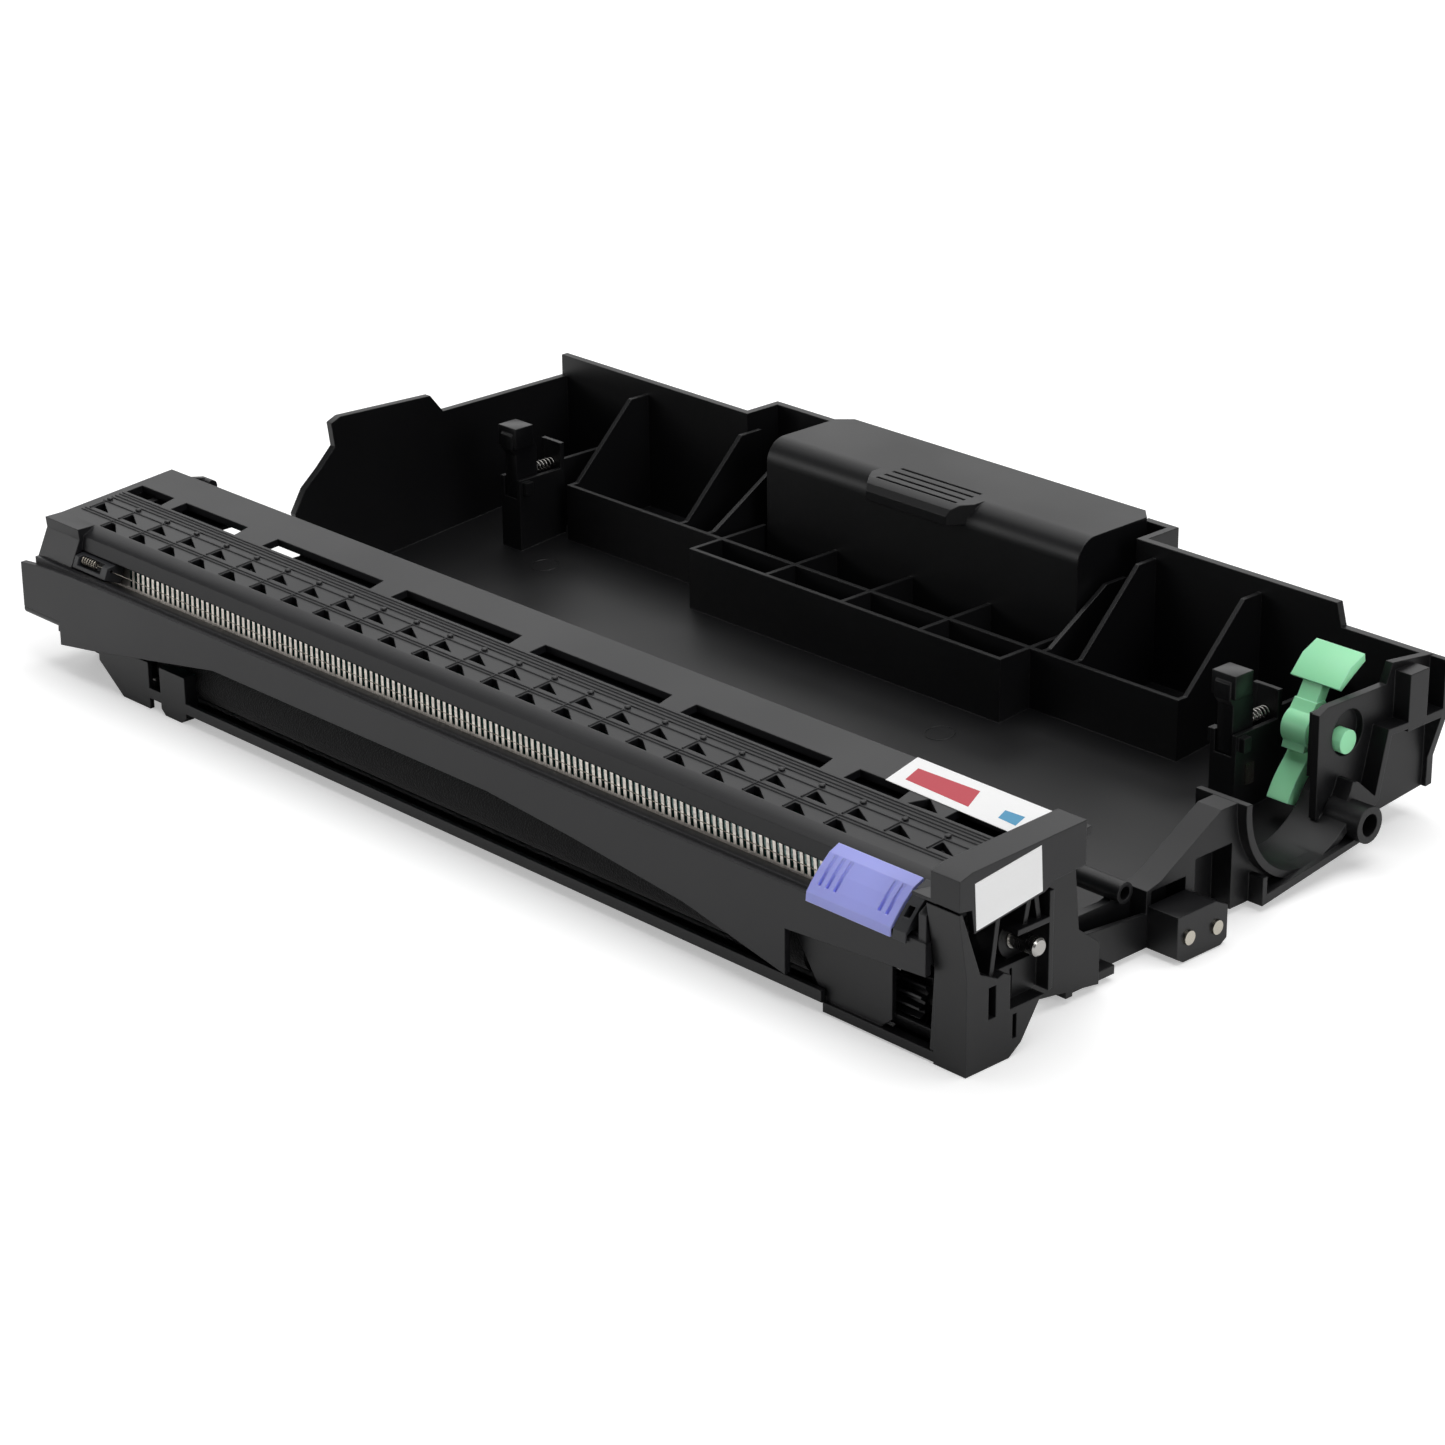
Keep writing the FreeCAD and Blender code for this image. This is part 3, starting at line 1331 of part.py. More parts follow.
for side, middle in (("left", -s.bearing_x), ("right", s.bearing_x)):
    bearing_outline = [
        (transfer_y - s.bearing_half, transfer_z - s.bearing_low),
        (transfer_y + s.bearing_half, transfer_z - s.bearing_low),
        (transfer_y + s.bearing_half, transfer_z + 0.8),
        (transfer_y + 2.6, transfer_z + 3.2),
        (transfer_y - 2.6, transfer_z + 3.4),
        (transfer_y - s.bearing_half, transfer_z + 1.6),
    ]
    bearing = side_plate(f"Bearing{side}", bearing_outline,
                         (middle - s.bearing_width / 2, middle + s.bearing_width / 2),
                         [(transfer_y, transfer_z, s.spindle_r + s.running_gap)])
    finish(f"transfer_bearing_{side}", bearing)
    spring_low = s.trough_bottom + s.trough_wall + s.running_gap
    spring = coil(f"LiftSpring{side}", (middle, transfer_y, spring_low + s.lift_spring_wire), FreeCAD.Rotation(),
                  s.lift_spring_r, s.lift_spring_wire,
                  transfer_z - s.bearing_low - s.running_gap - spring_low, 3)
    finish(f"transfer_spring_{side}", spring)


# Lever that locks the toner cartridge


lever_eye = (s.lever_y, s.lever_z)
lever_right = s.lever_left + s.lever_width
lever = fuse("LockLever", [
    side_plate("LeverBlade", [
        (s.lever_y - 8.4, s.lever_z - 15.2),
        (s.lever_y - 4.4, s.lever_z - 7.2),
        (s.lever_y - 2.4, s.lever_z - 1.0),
        (s.lever_y - 1.4, s.lever_z + 3.8),
        (s.lever_y + 0.4, s.lever_z + 6.2),
        (s.lever_y + 3.4, s.lever_z + 6.0),
        (s.lever_y + 5.6, s.lever_z + 3.0),
        (s.lever_y + 5.8, s.lever_z - 1.4),
        (s.lever_y + 3.6, s.lever_z - 8.0),
        (s.lever_y - 0.6, s.lever_z - 13.6),
        (s.lever_y - 4.4, s.lever_z - 16.2),
    ], (s.lever_left, lever_right)),
    rod("LeverHub", lever_eye, s.lever_eye_r, (s.lever_left, lever_right + 0.8)),
    rod("LeverPin", lever_eye, s.lever_pin_r, (s.lever_left, s.lever_plate_in + s.wall + 1.2)),
    side_plate("LeverNeck", [
        (s.lever_y + 0.2, s.lever_z + 5.6),
        (s.lever_y + 3.6, s.lever_z + 5.4),
        (s.lever_y + 8.2, s.lever_z + 13.8),
        (s.lever_y + 3.6, s.lever_z + 11.4),
    ], (s.lever_left + 0.4, lever_right - 0.4)),
    side_plate("LeverPaddle", [
        (s.lever_y + 2.0, s.lever_z + 10.3),
        (s.lever_y + 3.0, s.lever_z + 9.6),
        (s.lever_y + 7.0, s.lever_z + 12.2),
        (s.lever_y + 11.1, s.lever_z + 14.6),
        (s.lever_y + 10.8, s.lever_z + 16.4),
        (s.lever_y + 6.0, s.lever_z + 14.4),
    ], (s.lever_left - 2.8, lever_right + 4.5)),
])
finish("lock_lever", lever)
lever_spring = coil("LeverSpring", (lever_right + 1.3, s.lever_y, s.lever_z), along_x, s.lever_pin_r + 0.8, 0.25,
                    s.lever_plate_in - lever_right - 1.3, 4)
finish("lock_lever_spring", lever_spring)


# Press arms


for side, middle in (("left", -s.press_x), ("right", s.press_x)):
    half = s.press_width / 2
    behind = s.press_front + s.press_depth
    axis_z = s.press_low + 6.0
    arm = side_plate(f"PressArm{side}", [
        (s.press_front + 1.4, s.press_low),
        (behind, s.press_low),
        (behind, s.press_top - 6.0),
        (behind - 1.4, s.press_top - 2.6),
        (behind - 2.4, s.press_top),
        (s.press_front + 1.2, s.press_top),
        (s.press_front, s.press_top - 1.6),
        (s.press_front, s.press_top - 5.4),
        (s.press_front + 1.4, s.press_top - 7.0),
    ], (middle - half, middle + half))
    bore = document.addObject("Part::Cylinder", f"PressBore{side}")
    bore.Placement.Rotation = FreeCAD.Rotation(FreeCAD.Vector(1, 0, 0), -90)
    bind(bore, "Placement.Base.x", middle)
    bind(bore, "Placement.Base.y", behind - s.press_bore)
    bind(bore, "Placement.Base.z", axis_z)
    bind(bore, "Radius", s.press_bore_r)
    bind(bore, "Height", s.press_bore + 1)
    finish(f"press_arm_{side}", cut(f"PressArmBored{side}", arm, [bore]))
    spring_start = behind - s.press_bore + s.press_travel + s.piece_gap
    spring = coil(f"PressSpring{side}", (middle, spring_start + s.press_spring_wire, axis_z),
                  FreeCAD.Rotation(FreeCAD.Vector(1, 0, 0), -90), s.press_spring_r, s.press_spring_wire,
                  s.press_front + s.press_depth + s.press_travel + 4.0 - s.running_gap - spring_start, 7)
    finish(f"press_spring_{side}", spring)


# Contacts and stickers


contact_solid = side_plate("ContactBlock", [
    (s.contact_front, s.floor_z),
    (s.contact_front + 2.0, 0.2),
    (s.contact_back - 2.0, 0.2),
    (s.contact_back, s.floor_z),
    (s.contact_back, s.contact_top - 2.0),
    (s.contact_back - 4.0, s.contact_top),
    (s.contact_front, s.contact_top),
], (s.cheek_out, s.contact_out))
pin_places = [(s.contact_front + 3.4, 5.6), (s.contact_back - 3.6, 5.0)]
pin_bores = []
pins = []
for number, place in enumerate(pin_places, start=1):
    pin_bores.append(rod(f"ContactBore{number}", place, s.contact_r + s.running_gap,
                         (s.cheek_out + 1.0, s.contact_out + 1.0)))
    pins.append(rod(f"ContactPin{number}", place, s.contact_r, (s.cheek_out + 1.0, s.contact_out + 0.6)))
finish("contact_block", cut("ContactBlockBored", contact_solid, pin_bores))
finish("contact_pins", *pins)

guide_side = s.press_x + s.press_width / 2 + s.piece_gap + s.rib
finish("side_contact", block("SideContact", (guide_side, guide_side + 0.4), (s.press_front + 4.4, s.press_front + 7.2),
                             (12.4, 17.4)))

top_sticker = flat_plate("TopSticker", [(108.7, 22.4), (147.5, 21.2), (145.6, 33.4), (106.8, 34.0)],
                         (0.0, s.sticker_sheet))
top_sticker.Placement.Rotation = FreeCAD.Rotation(FreeCAD.Vector(1, 0, 0), math.degrees(math.atan(cover_slope)))
bind(top_sticker, "Placement.Base.y", s.cover_front)
bind(top_sticker, "Placement.Base.z", s.cover_front_z)
finish("top_sticker", top_sticker)
finish("end_sticker", side_plate("EndSticker", [(1.8, 41.7), (2.4, 31.4), (21.4, 33.8), (20.8, 43.9)],
                                 (s.end_face, s.end_face + s.sticker_sheet)))


document.recompute()
failed = [item.Name for item in document.Objects if {"Invalid", "Error"} & set(item.State)]
if failed:
    raise RuntimeError(f"objects that failed: {failed}")
os.makedirs("parts", exist_ok=True)
for piece in sub_parts:
    if piece.Shape.isNull() or not piece.Shape.isValid():
        raise RuntimeError(f"{piece.Label} has no valid shape")
    piece.Shape.exportStep(f"parts/{piece.Label}.step")
    print(piece.Label, len(piece.Shape.Solids), len(piece.Shape.Faces), piece.Shape.BoundBox)
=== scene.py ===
import logging
import math
from dataclasses import dataclass, field
from enum import Enum

import bmesh
import bpy
import numpy as np
from mathutils import Matrix, Vector


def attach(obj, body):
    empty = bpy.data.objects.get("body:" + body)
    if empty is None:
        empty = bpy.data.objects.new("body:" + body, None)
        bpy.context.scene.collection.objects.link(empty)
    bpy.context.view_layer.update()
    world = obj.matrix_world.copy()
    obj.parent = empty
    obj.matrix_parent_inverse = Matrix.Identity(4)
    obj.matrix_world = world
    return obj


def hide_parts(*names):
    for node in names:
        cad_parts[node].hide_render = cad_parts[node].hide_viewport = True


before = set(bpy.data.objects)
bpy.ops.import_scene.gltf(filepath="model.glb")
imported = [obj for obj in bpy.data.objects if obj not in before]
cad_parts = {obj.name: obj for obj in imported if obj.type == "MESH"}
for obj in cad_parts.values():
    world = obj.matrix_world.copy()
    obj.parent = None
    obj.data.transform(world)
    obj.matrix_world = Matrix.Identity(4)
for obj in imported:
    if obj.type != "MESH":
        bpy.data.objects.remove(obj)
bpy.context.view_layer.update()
log = logging.getLogger("drum_unit")

Span = tuple[float, float]
Outline = tuple[Span, ...]
Extent = tuple[Span, Span, Span]
Material = bpy.types.Material
Tree = bpy.types.NodeTree
Socket = bpy.types.NodeSocket
Piece = bpy.types.Object

MM = 0.001
PHOTO_PIXELS = 1445
HOLE_START = -151.0
HOLE_PITCH = 12.0
ROD_CORNERS = 48
BOW_STEPS = 32
OVERCUT = 1.0


class Slot(Enum):
    """Material slots of the record that the finishes of new pieces belong to."""

    FRAME = "frame_plastic"
    COVER = "cover_plastic"
    LEVER = "lever_plastic"
    STICKER = "sticker_paper"


@dataclass(frozen=True)
class Slope:
    """A face that rises towards the back: its height is start_z + (y - start_y) * rise, in mm."""

    start_y: float
    start_z: float
    rise: float

    def height(self, y: np.ndarray | float) -> np.ndarray | float:
        """Gives the height at a place along Y."""
        return self.start_z + (y - self.start_y) * self.rise


COVER_TOP = Slope(9.0, 36.4, 2.9 / 33.7)
FLOOR_TOP = Slope(100.0, 3.4, 6.0 / 68.6)


def linear(colour: str) -> tuple[float, float, float, float]:
    """Turns an sRGB hex colour to linear.

    Args:
        colour: six hex digits after a hash sign.

    Returns:
        Red, green, blue and an alpha of one.
    """
    parts = [int(colour[place:place + 2], 16) / 255 for place in (1, 3, 5)]
    turned = [part / 12.92 if part <= 0.04045 else ((part + 0.055) / 1.055) ** 2.4 for part in parts]
    return turned[0], turned[1], turned[2], 1.0


def add_node(tree: Tree, kind: str, links: dict | None = None, sockets: dict | None = None,
             **settings: object) -> bpy.types.Node:
    """Adds one shader node with its settings, socket values and incoming links.

    Args:
        tree: the material's node tree.
        kind: the node's type name.
        links: input name or number to the output socket that feeds it.
        sockets: input name or number to its value.
        settings: attributes of the node.

    Returns:
        The node.
    """
    node = tree.nodes.new(kind)
    for name, value in settings.items():
        setattr(node, name, value)
    for name, value in (sockets or {}).items():
        node.inputs[name].default_value = value
    for name, output in (links or {}).items():
        tree.links.new(output, node.inputs[name])
    return node


def empty_material(name: str) -> tuple[Material, Tree, Socket]:
    """Starts a node material.

    Args:
        name: the material's name.

    Returns:
        The material, its tree and the Object coordinates, in metres.
    """
    material = bpy.data.materials.new(name)
    material.use_nodes = True
    tree = material.node_tree
    tree.nodes.clear()
    place = add_node(tree, "ShaderNodeTexCoord")
    return material, tree, place.outputs["Object"]


def toned(colour: tuple, factor: float, lift: float = 0.0) -> tuple:
    """Gives a linear colour made darker or lighter: factor * part + lift, at most one."""
    return tuple(min(1.0, factor * part + lift) for part in colour[:3]) + (1.0,)


def noise(tree: Tree, place: Socket, size_mm: float, detail: float, roughness: float = 0.5) -> Socket:
    """Adds noise whose features are about size_mm wide and gives its value."""
    return add_node(tree, "ShaderNodeTexNoise", {"Vector": place},
                    {"Scale": 1 / (size_mm * MM), "Detail": detail, "Roughness": roughness}).outputs["Fac"]


def spread(tree: Tree, value: Socket, low: float, high: float) -> Socket:
    """Stretches the middle of a noise value, 0.3 to 0.7, over a new range."""
    return add_node(tree, "ShaderNodeMapRange", {"Value": value},
                    {"From Min": 0.3, "From Max": 0.7, "To Min": low, "To Max": high}).outputs[0]


def mixed(tree: Tree, factor: Socket, first: tuple, second: tuple) -> Socket:
    """Mixes two colours by a factor."""
    return add_node(tree, "ShaderNodeMix", {0: factor}, {6: first, 7: second}, data_type="RGBA").outputs[2]


def bumped(tree: Tree, strength: float, depth_mm: float, **links: Socket) -> Socket:
    """Turns a height, and a normal if one is given, to a bumped normal."""
    sockets = {"Strength": strength, "Distance": depth_mm * MM}
    return add_node(tree, "ShaderNodeBump", links, sockets).outputs[0]


def surface(tree: Tree, links: dict, sockets: dict) -> None:
    """Ends a material with its shader and the output."""
    shader = add_node(tree, "ShaderNodeBsdfPrincipled", links, sockets)
    add_node(tree, "ShaderNodeOutputMaterial", {"Surface": shader.outputs[0]})


@dataclass(frozen=True)
class MouldedPlastic:
    """Injection-moulded plastic: an even colour, a fine spark-eroded grain, and edges shaded as rounded.

    The eye sees a soft sheen that breaks up over the grain. Rounded edges get a painted highlight: their
    colour is mixed towards a lighter one. An edge is where the rounded normal leaves the flat one: their dot
    product falls from edge_from to edge_to.
    """

    name: str
    colour: str
    roughness: float = 0.42
    grain_mm: float = 0.5
    grain_depth_mm: float = 0.02
    edge_mm: float = 0.35
    edge_lift: float = 0.25
    translucence: float = 0.0
    edge_from: float = 0.995
    edge_to: float = 0.82
    cloud_mm: float = 45.0
    dark: float = 0.9
    light: float = 1.1
    # Painted edge highlight: the factor and lift that make the base lighter at rounded edges.
    edge_highlight: float = 1.8
    edge_highlight_lift: float = 0.02
    gloss_spread: float = 0.04

    def material(self) -> Material:
        """Builds the node material."""
        material, tree, place = empty_material(self.name)
        base = linear(self.colour)
        grain = noise(tree, place, self.grain_mm, 3.0, 0.6)
        cloud = noise(tree, place, self.cloud_mm, 2.0)
        rounded = add_node(tree, "ShaderNodeBevel", sockets={"Radius": self.edge_mm * MM}, samples=4)
        flat = add_node(tree, "ShaderNodeNewGeometry")
        turn = add_node(tree, "ShaderNodeVectorMath",
                        {0: rounded.outputs[0], 1: flat.outputs["True Normal"]}, operation="DOT_PRODUCT")
        edge = add_node(tree, "ShaderNodeMapRange", {"Value": turn.outputs["Value"]},
                        {"From Min": self.edge_from, "From Max": self.edge_to, "To Min": 0.0,
                         "To Max": self.edge_lift})
        tint = mixed(tree, spread(tree, cloud, 0.0, 1.0), toned(base, self.dark), toned(base, self.light))
        # Painted highlight: the colour at rounded edges is mixed towards a lighter tone of the base, by up to
        # edge_lift.
        colour = add_node(tree, "ShaderNodeMix", {0: edge.outputs[0], 6: tint},
                          {7: toned(base, self.edge_highlight, self.edge_highlight_lift)}, data_type="RGBA")
        gloss = spread(tree, cloud, self.roughness - self.gloss_spread, self.roughness + self.gloss_spread)
        normal = bumped(tree, 0.6, self.grain_depth_mm, Height=grain, Normal=rounded.outputs[0])
        surface(tree, {"Base Color": colour.outputs[2], "Roughness": gloss, "Normal": normal},
                {"Subsurface Weight": self.translucence, "Subsurface Scale": 1.0 * MM, "IOR": 1.5})
        return material


@dataclass(frozen=True)
class DrawnMetal:
    """Rolled, drawn or ground metal: fine lines along one direction and a streaky gloss."""

    name: str
    colour: str
    roughness: float = 0.28
    line_mm: float = 0.12
    along: tuple[float, float, float] = (0.03, 1.0, 1.0)
    depth_mm: float = 0.004
    spot_mm: float = 6.0
    dark: float = 0.86
    smooth: float = 0.75
    rough: float = 1.3

    def material(self) -> Material:
        """Builds the node material."""
        material, tree, place = empty_material(self.name)
        base = linear(self.colour)
        stretched = add_node(tree, "ShaderNodeMapping", {"Vector": place}, {"Scale": self.along})
        lines = noise(tree, stretched.outputs[0], self.line_mm, 2.0, 0.6)
        tint = mixed(tree, noise(tree, place, self.spot_mm, 3.0, 0.6), toned(base, self.dark), base)
        gloss = spread(tree, lines, self.roughness * self.smooth, self.roughness * self.rough)
        normal = bumped(tree, 0.5, self.depth_mm, Height=lines)
        surface(tree, {"Base Color": tint, "Roughness": gloss, "Normal": normal}, {"Metallic": 1.0})
        return material


@dataclass(frozen=True)
class CoatedTube:
    """Photoconductive lacquer dipped on aluminium: a deep even colour under a glassy, flawless coat."""

    name: str
    colour: str
    roughness: float = 0.18
    along: tuple[float, float, float] = (1.0, 0.05, 0.05)
    band_mm: float = 18.0
    dark: float = 0.85

    def material(self) -> Material:
        """Builds the node material."""
        material, tree, place = empty_material(self.name)
        base = linear(self.colour)
        bands = add_node(tree, "ShaderNodeMapping", {"Vector": place}, {"Scale": self.along})
        tint = mixed(tree, noise(tree, bands.outputs[0], self.band_mm, 2.0), toned(base, self.dark), base)
        surface(tree, {"Base Color": tint},
                {"Roughness": self.roughness, "Metallic": 0.25, "Coat Weight": 0.7, "Coat Roughness": 0.06})
        return material


@dataclass(frozen=True)
class OpenFoam:
    """Foam, felt or fibre: a dull surface full of pores or tufts of one size."""

    name: str
    colour: str
    pore_mm: float = 0.5
    depth_mm: float = 0.15
    dark: float = 0.6
    light: float = 1.3

    def material(self) -> Material:
        """Builds the node material."""
        material, tree, place = empty_material(self.name)
        base = linear(self.colour)
        pores = add_node(tree, "ShaderNodeTexVoronoi", {"Vector": place},
                         {"Scale": 1 / (self.pore_mm * MM), "Randomness": 1.0})
        tufts = noise(tree, place, self.pore_mm * 2, 4.0)
        tint = mixed(tree, tufts, toned(base, self.dark), toned(base, self.light))
        normal = bumped(tree, 0.8, self.depth_mm, Height=pores.outputs["Distance"])
        surface(tree, {"Base Color": tint, "Normal": normal},
                {"Roughness": 0.95, "Sheen Weight": 0.3, "Specular IOR Level": 0.2})
        return material


@dataclass(frozen=True)
class LabelStock:
    """Coated label paper: a bright even face with a faint fibre waviness and a low gloss."""

    name: str
    colour: str
    roughness: float = 0.5
    fibre_mm: float = 0.6
    depth_mm: float = 0.02
    dark: float = 0.94

    def material(self) -> Material:
        """Builds the node material."""
        material, tree, place = empty_material(self.name)
        base = linear(self.colour)
        fibre = noise(tree, place, self.fibre_mm, 4.0, 0.7)
        tint = mixed(tree, fibre, toned(base, self.dark), base)
        surface(tree, {"Base Color": tint, "Normal": bumped(tree, 0.3, self.depth_mm, Height=fibre)},
                {"Roughness": self.roughness, "Specular IOR Level": 0.4})
        return material


def dress(material: Material, *nodes: str) -> None:
    """Gives CAD nodes a material.

    Args:
        material: the finish.
        nodes: names of the nodes.
    """
    for name in nodes:
        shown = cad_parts[name]
        for slot in shown.material_slots:
            slot.material = material
        log.info("%s is dressed in %s", name, material.name)


def linked(name: str, data: bpy.types.ID) -> Piece:
    """Makes an object of a mesh, a light or a camera and puts it into the scene."""
    made = bpy.data.objects.new(name, data)
    bpy.context.scene.collection.objects.link(made)
    return made


def grid_piece(name: str, points: np.ndarray, material: Material,
               closed: tuple[bool, bool] = (False, False)) -> Piece:
    """Makes a mesh object from a grid of points: each cell of the grid is one face.

    Args:
        name: the piece's name.
        points: array of rows, columns and three coordinates, in metres in the unit's frame.
        material: the finish.
        closed: whether the rows and the columns join up end to end.

    Returns:
        The object, at the origin.
    """
    rows, columns = points.shape[:2]
    row = np.arange(rows if closed[0] else rows - 1)[:, None]
    column = np.arange(columns if closed[1] else columns - 1)[None, :]
    next_row = (row + 1) % rows
    next_column = (column + 1) % columns
    corners = [row * columns + column, row * columns + next_column, next_row * columns + next_column,
               next_row * columns + column]
    faces = np.stack([np.broadcast_to(corner, (row.size, column.size)) for corner in corners], axis=-1)
    mesh = bpy.data.meshes.new(name)
    mesh.from_pydata(points.reshape(-1, 3).tolist(), [], faces.reshape(-1, 4).tolist())
    mesh.materials.append(material)
    mesh.validate()
    return linked(name, mesh)


def in_unit(points: np.ndarray) -> np.ndarray:
    """Turns places from the paper's middle and the front edge, in mm, to the unit's frame in metres."""
    return (np.asarray(points, dtype=float) - (Studio.middle_x_mm, Studio.middle_y_mm, 0.0)) * MM


@dataclass
class BarMesh:
    """Gathers closed swept bars into one mesh.

    A bar is a row of rings with the same count of points. Neighbouring rings are joined by four-sided faces,
    and the first and the last are closed by one face each. Rings run anticlockwise seen against the path.
    """

    points: list = field(default_factory=list)
    faces: list = field(default_factory=list)

    def bar(self, rings: np.ndarray) -> None:
        """Adds one bar.

        Args:
            rings: array of rings, points round the ring and three coordinates, in mm.
        """
        count, around = rings.shape[:2]
        first = len(self.points)
        row = np.arange(count - 1)[:, None] * around
        step = np.arange(around)[None, :]
        after = (step + 1) % around
        sides = np.stack([row + step, row + after, row + around + after, row + around + step], axis=-1)
        self.points.extend(in_unit(rings).reshape(-1, 3).tolist())
        self.faces.extend((sides.reshape(-1, 4) + first).tolist())
        self.faces.append((np.arange(around)[::-1] + first).tolist())
        self.faces.append((np.arange(around) + first + (count - 1) * around).tolist())

    def bare(self, name: str) -> Piece:
        """Makes an object of the bars, without a finish."""
        mesh = bpy.data.meshes.new(name)
        mesh.from_pydata(self.points, [], self.faces)
        return linked(name, mesh)

    def build(self, name: str, material: Material, slot: Slot, body: str) -> None:
        """Makes the piece.

        Args:
            name: its name.
            material: its finish.
            slot: the record's slot that the finish belongs to; not used.
            body: the CAD body that it moves with.
        """
        piece = self.bare(name)
        piece.data.materials.append(material)
        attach(piece, body)
        log.info("%s has %d faces", name, len(self.faces))


class Axis(Enum):
    """Direction that a flat outline is carried along."""

    ACROSS = 0
    DEEP = 1
    UP = 2


def carried(axis: Axis, outline: Outline | list, span: Span) -> np.ndarray:
    """Carries a flat outline along an axis: one ring at each end, anticlockwise seen against the axis.

    Args:
        axis: the direction. The outline lies in the other two, in the order X, Y, Z.
        outline: the corners, in mm.
        span: where it starts and ends, in mm.

    Returns:
        Array of two rings.
    """
    flat = np.asarray(outline, dtype=float)
    after = np.roll(flat, -1, axis=0)
    area = np.sum(flat[:, 0] * after[:, 1] - after[:, 0] * flat[:, 1])
    if (area < 0) != (axis is Axis.DEEP):
        flat = flat[::-1]
    return np.stack([np.insert(flat, axis.value, level, axis=1) for level in span])


def across(outline: Outline | list, span: Span) -> np.ndarray:
    """Carries an outline in (y, z) along X."""
    return carried(Axis.ACROSS, outline, span)


def box(x: Span, y: Span, z: Span) -> np.ndarray:
    """Gives the two rings of a box between the given places, in mm."""
    return across([(y[0], z[0]), (y[1], z[0]), (y[1], z[1]), (y[0], z[1])], x)


def arc(centre: Span, radius: float, turns: Span, steps: int = 16) -> list:
    """Gives points on an arc: centre + radius * (cos, sin) of angles between the two turns, in degrees."""
    angles = np.radians(np.linspace(*turns, steps))
    return (np.column_stack([np.cos(angles), np.sin(angles)]) * radius + centre).tolist()


def rod(centre: Span, radius: float, span: Span) -> np.ndarray:
    """Gives the two rings of a round bar along X, with its centre at (y, z)."""
    turns = (0, 360 - 360 / ROD_CORNERS)
    return across(arc(centre, radius, turns, ROD_CORNERS), span)


def bow(centre: Span, radius: float, wall: float, turns: Span, span: Span) -> np.ndarray:
    """Gives a bent wall along X: an outer and an inner arc round (y, z), joined at their ends.

    Args:
        centre: the arcs' centre.
        radius: the inner radius.
        wall: the wall's thickness.
        turns: where the arcs start and end, in degrees from +Y towards +Z.
        span: where the wall starts and ends along X.

    Returns:
        Array of two rings.
    """
    outer = arc(centre, radius + wall, turns, BOW_STEPS)
    return across(outer + arc(centre, radius, turns[::-1], BOW_STEPS), span)


@dataclass
class Reshaped:
    """Stands for a CAD piece: its merged copy, with carried outlines joined or cut in their order."""

    node: str
    steps: list = field(default_factory=list)
    rounding_mm: float = 0.0
    merge_mm: float = 0.001
    rounded_from: float = 30.0
    sharp_from: float = 28.0

    def join(self, *rings: np.ndarray) -> None:
        """Adds forms that lie clear of each other."""
        self.steps.append(("UNION", rings))

    def cut(self, *rings: np.ndarray) -> None:
        """Takes away forms that lie clear of each other."""
        self.steps.append(("DIFFERENCE", rings))

    def merged_copy(self, name: str) -> Piece:
        """Copies the CAD piece's mesh and merges its loose triangles.

        Args:
            name: the copy's name.

        Returns:
            The copy, without materials.
        """
        mesh = bpy.data.meshes.new(name)
        gathered = bmesh.new()
        gathered.from_mesh(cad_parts[self.node].data)
        bmesh.ops.remove_doubles(gathered, verts=gathered.verts, dist=self.merge_mm * MM)
        gathered.to_mesh(mesh)
        gathered.free()
        return linked(name, mesh)

    def build(self, name: str, material: Material, slot: Slot, body: str) -> None:
        """Makes the piece and hides the CAD piece.

        Args:
            name: its name.
            material: its finish.
            slot: the record's slot that the finish belongs to; not used.
            body: the CAD body that it moves with.
        """
        piece = self.merged_copy(name)
        tools = []
        for number, (operation, rings) in enumerate(self.steps):
            shape = BarMesh()
            for pair in rings:
                shape.bar(pair)
            tool = shape.bare(f"{name}_tool_{number}")
            change = piece.modifiers.new(f"step_{number}", "BOOLEAN")
            change.operation = operation
            change.solver = "MANIFOLD"
            change.object = tool
            tools.append(tool)
        if self.rounding_mm:
            bevel = piece.modifiers.new("rounded_edges", "BEVEL")
            bevel.width = self.rounding_mm * MM
            bevel.segments = 3
            bevel.limit_method = "ANGLE"
            bevel.angle_limit = math.radians(self.rounded_from)
        ready = piece.evaluated_get(bpy.context.evaluated_depsgraph_get())
        mesh = bpy.data.meshes.new_from_object(ready)
        piece.modifiers.clear()
        piece.data = mesh
        for tool in tools:
            bpy.data.objects.remove(tool)
        mesh.materials.clear()
        mesh.materials.append(material)
        count = len(mesh.polygons)
        mesh.polygons.foreach_set("material_index", np.zeros(count, dtype=np.int32))
        mesh.polygons.foreach_set("use_smooth", np.ones(count, dtype=bool))
        if "custom_normal" in mesh.attributes:
            mesh.attributes.remove(mesh.attributes["custom_normal"])
        mesh.set_sharp_from_angle(angle=math.radians(self.sharp_from))
        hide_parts(self.node)
        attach(piece, body)
        log.info("%s stands for %s with %d faces", name, self.node, count)


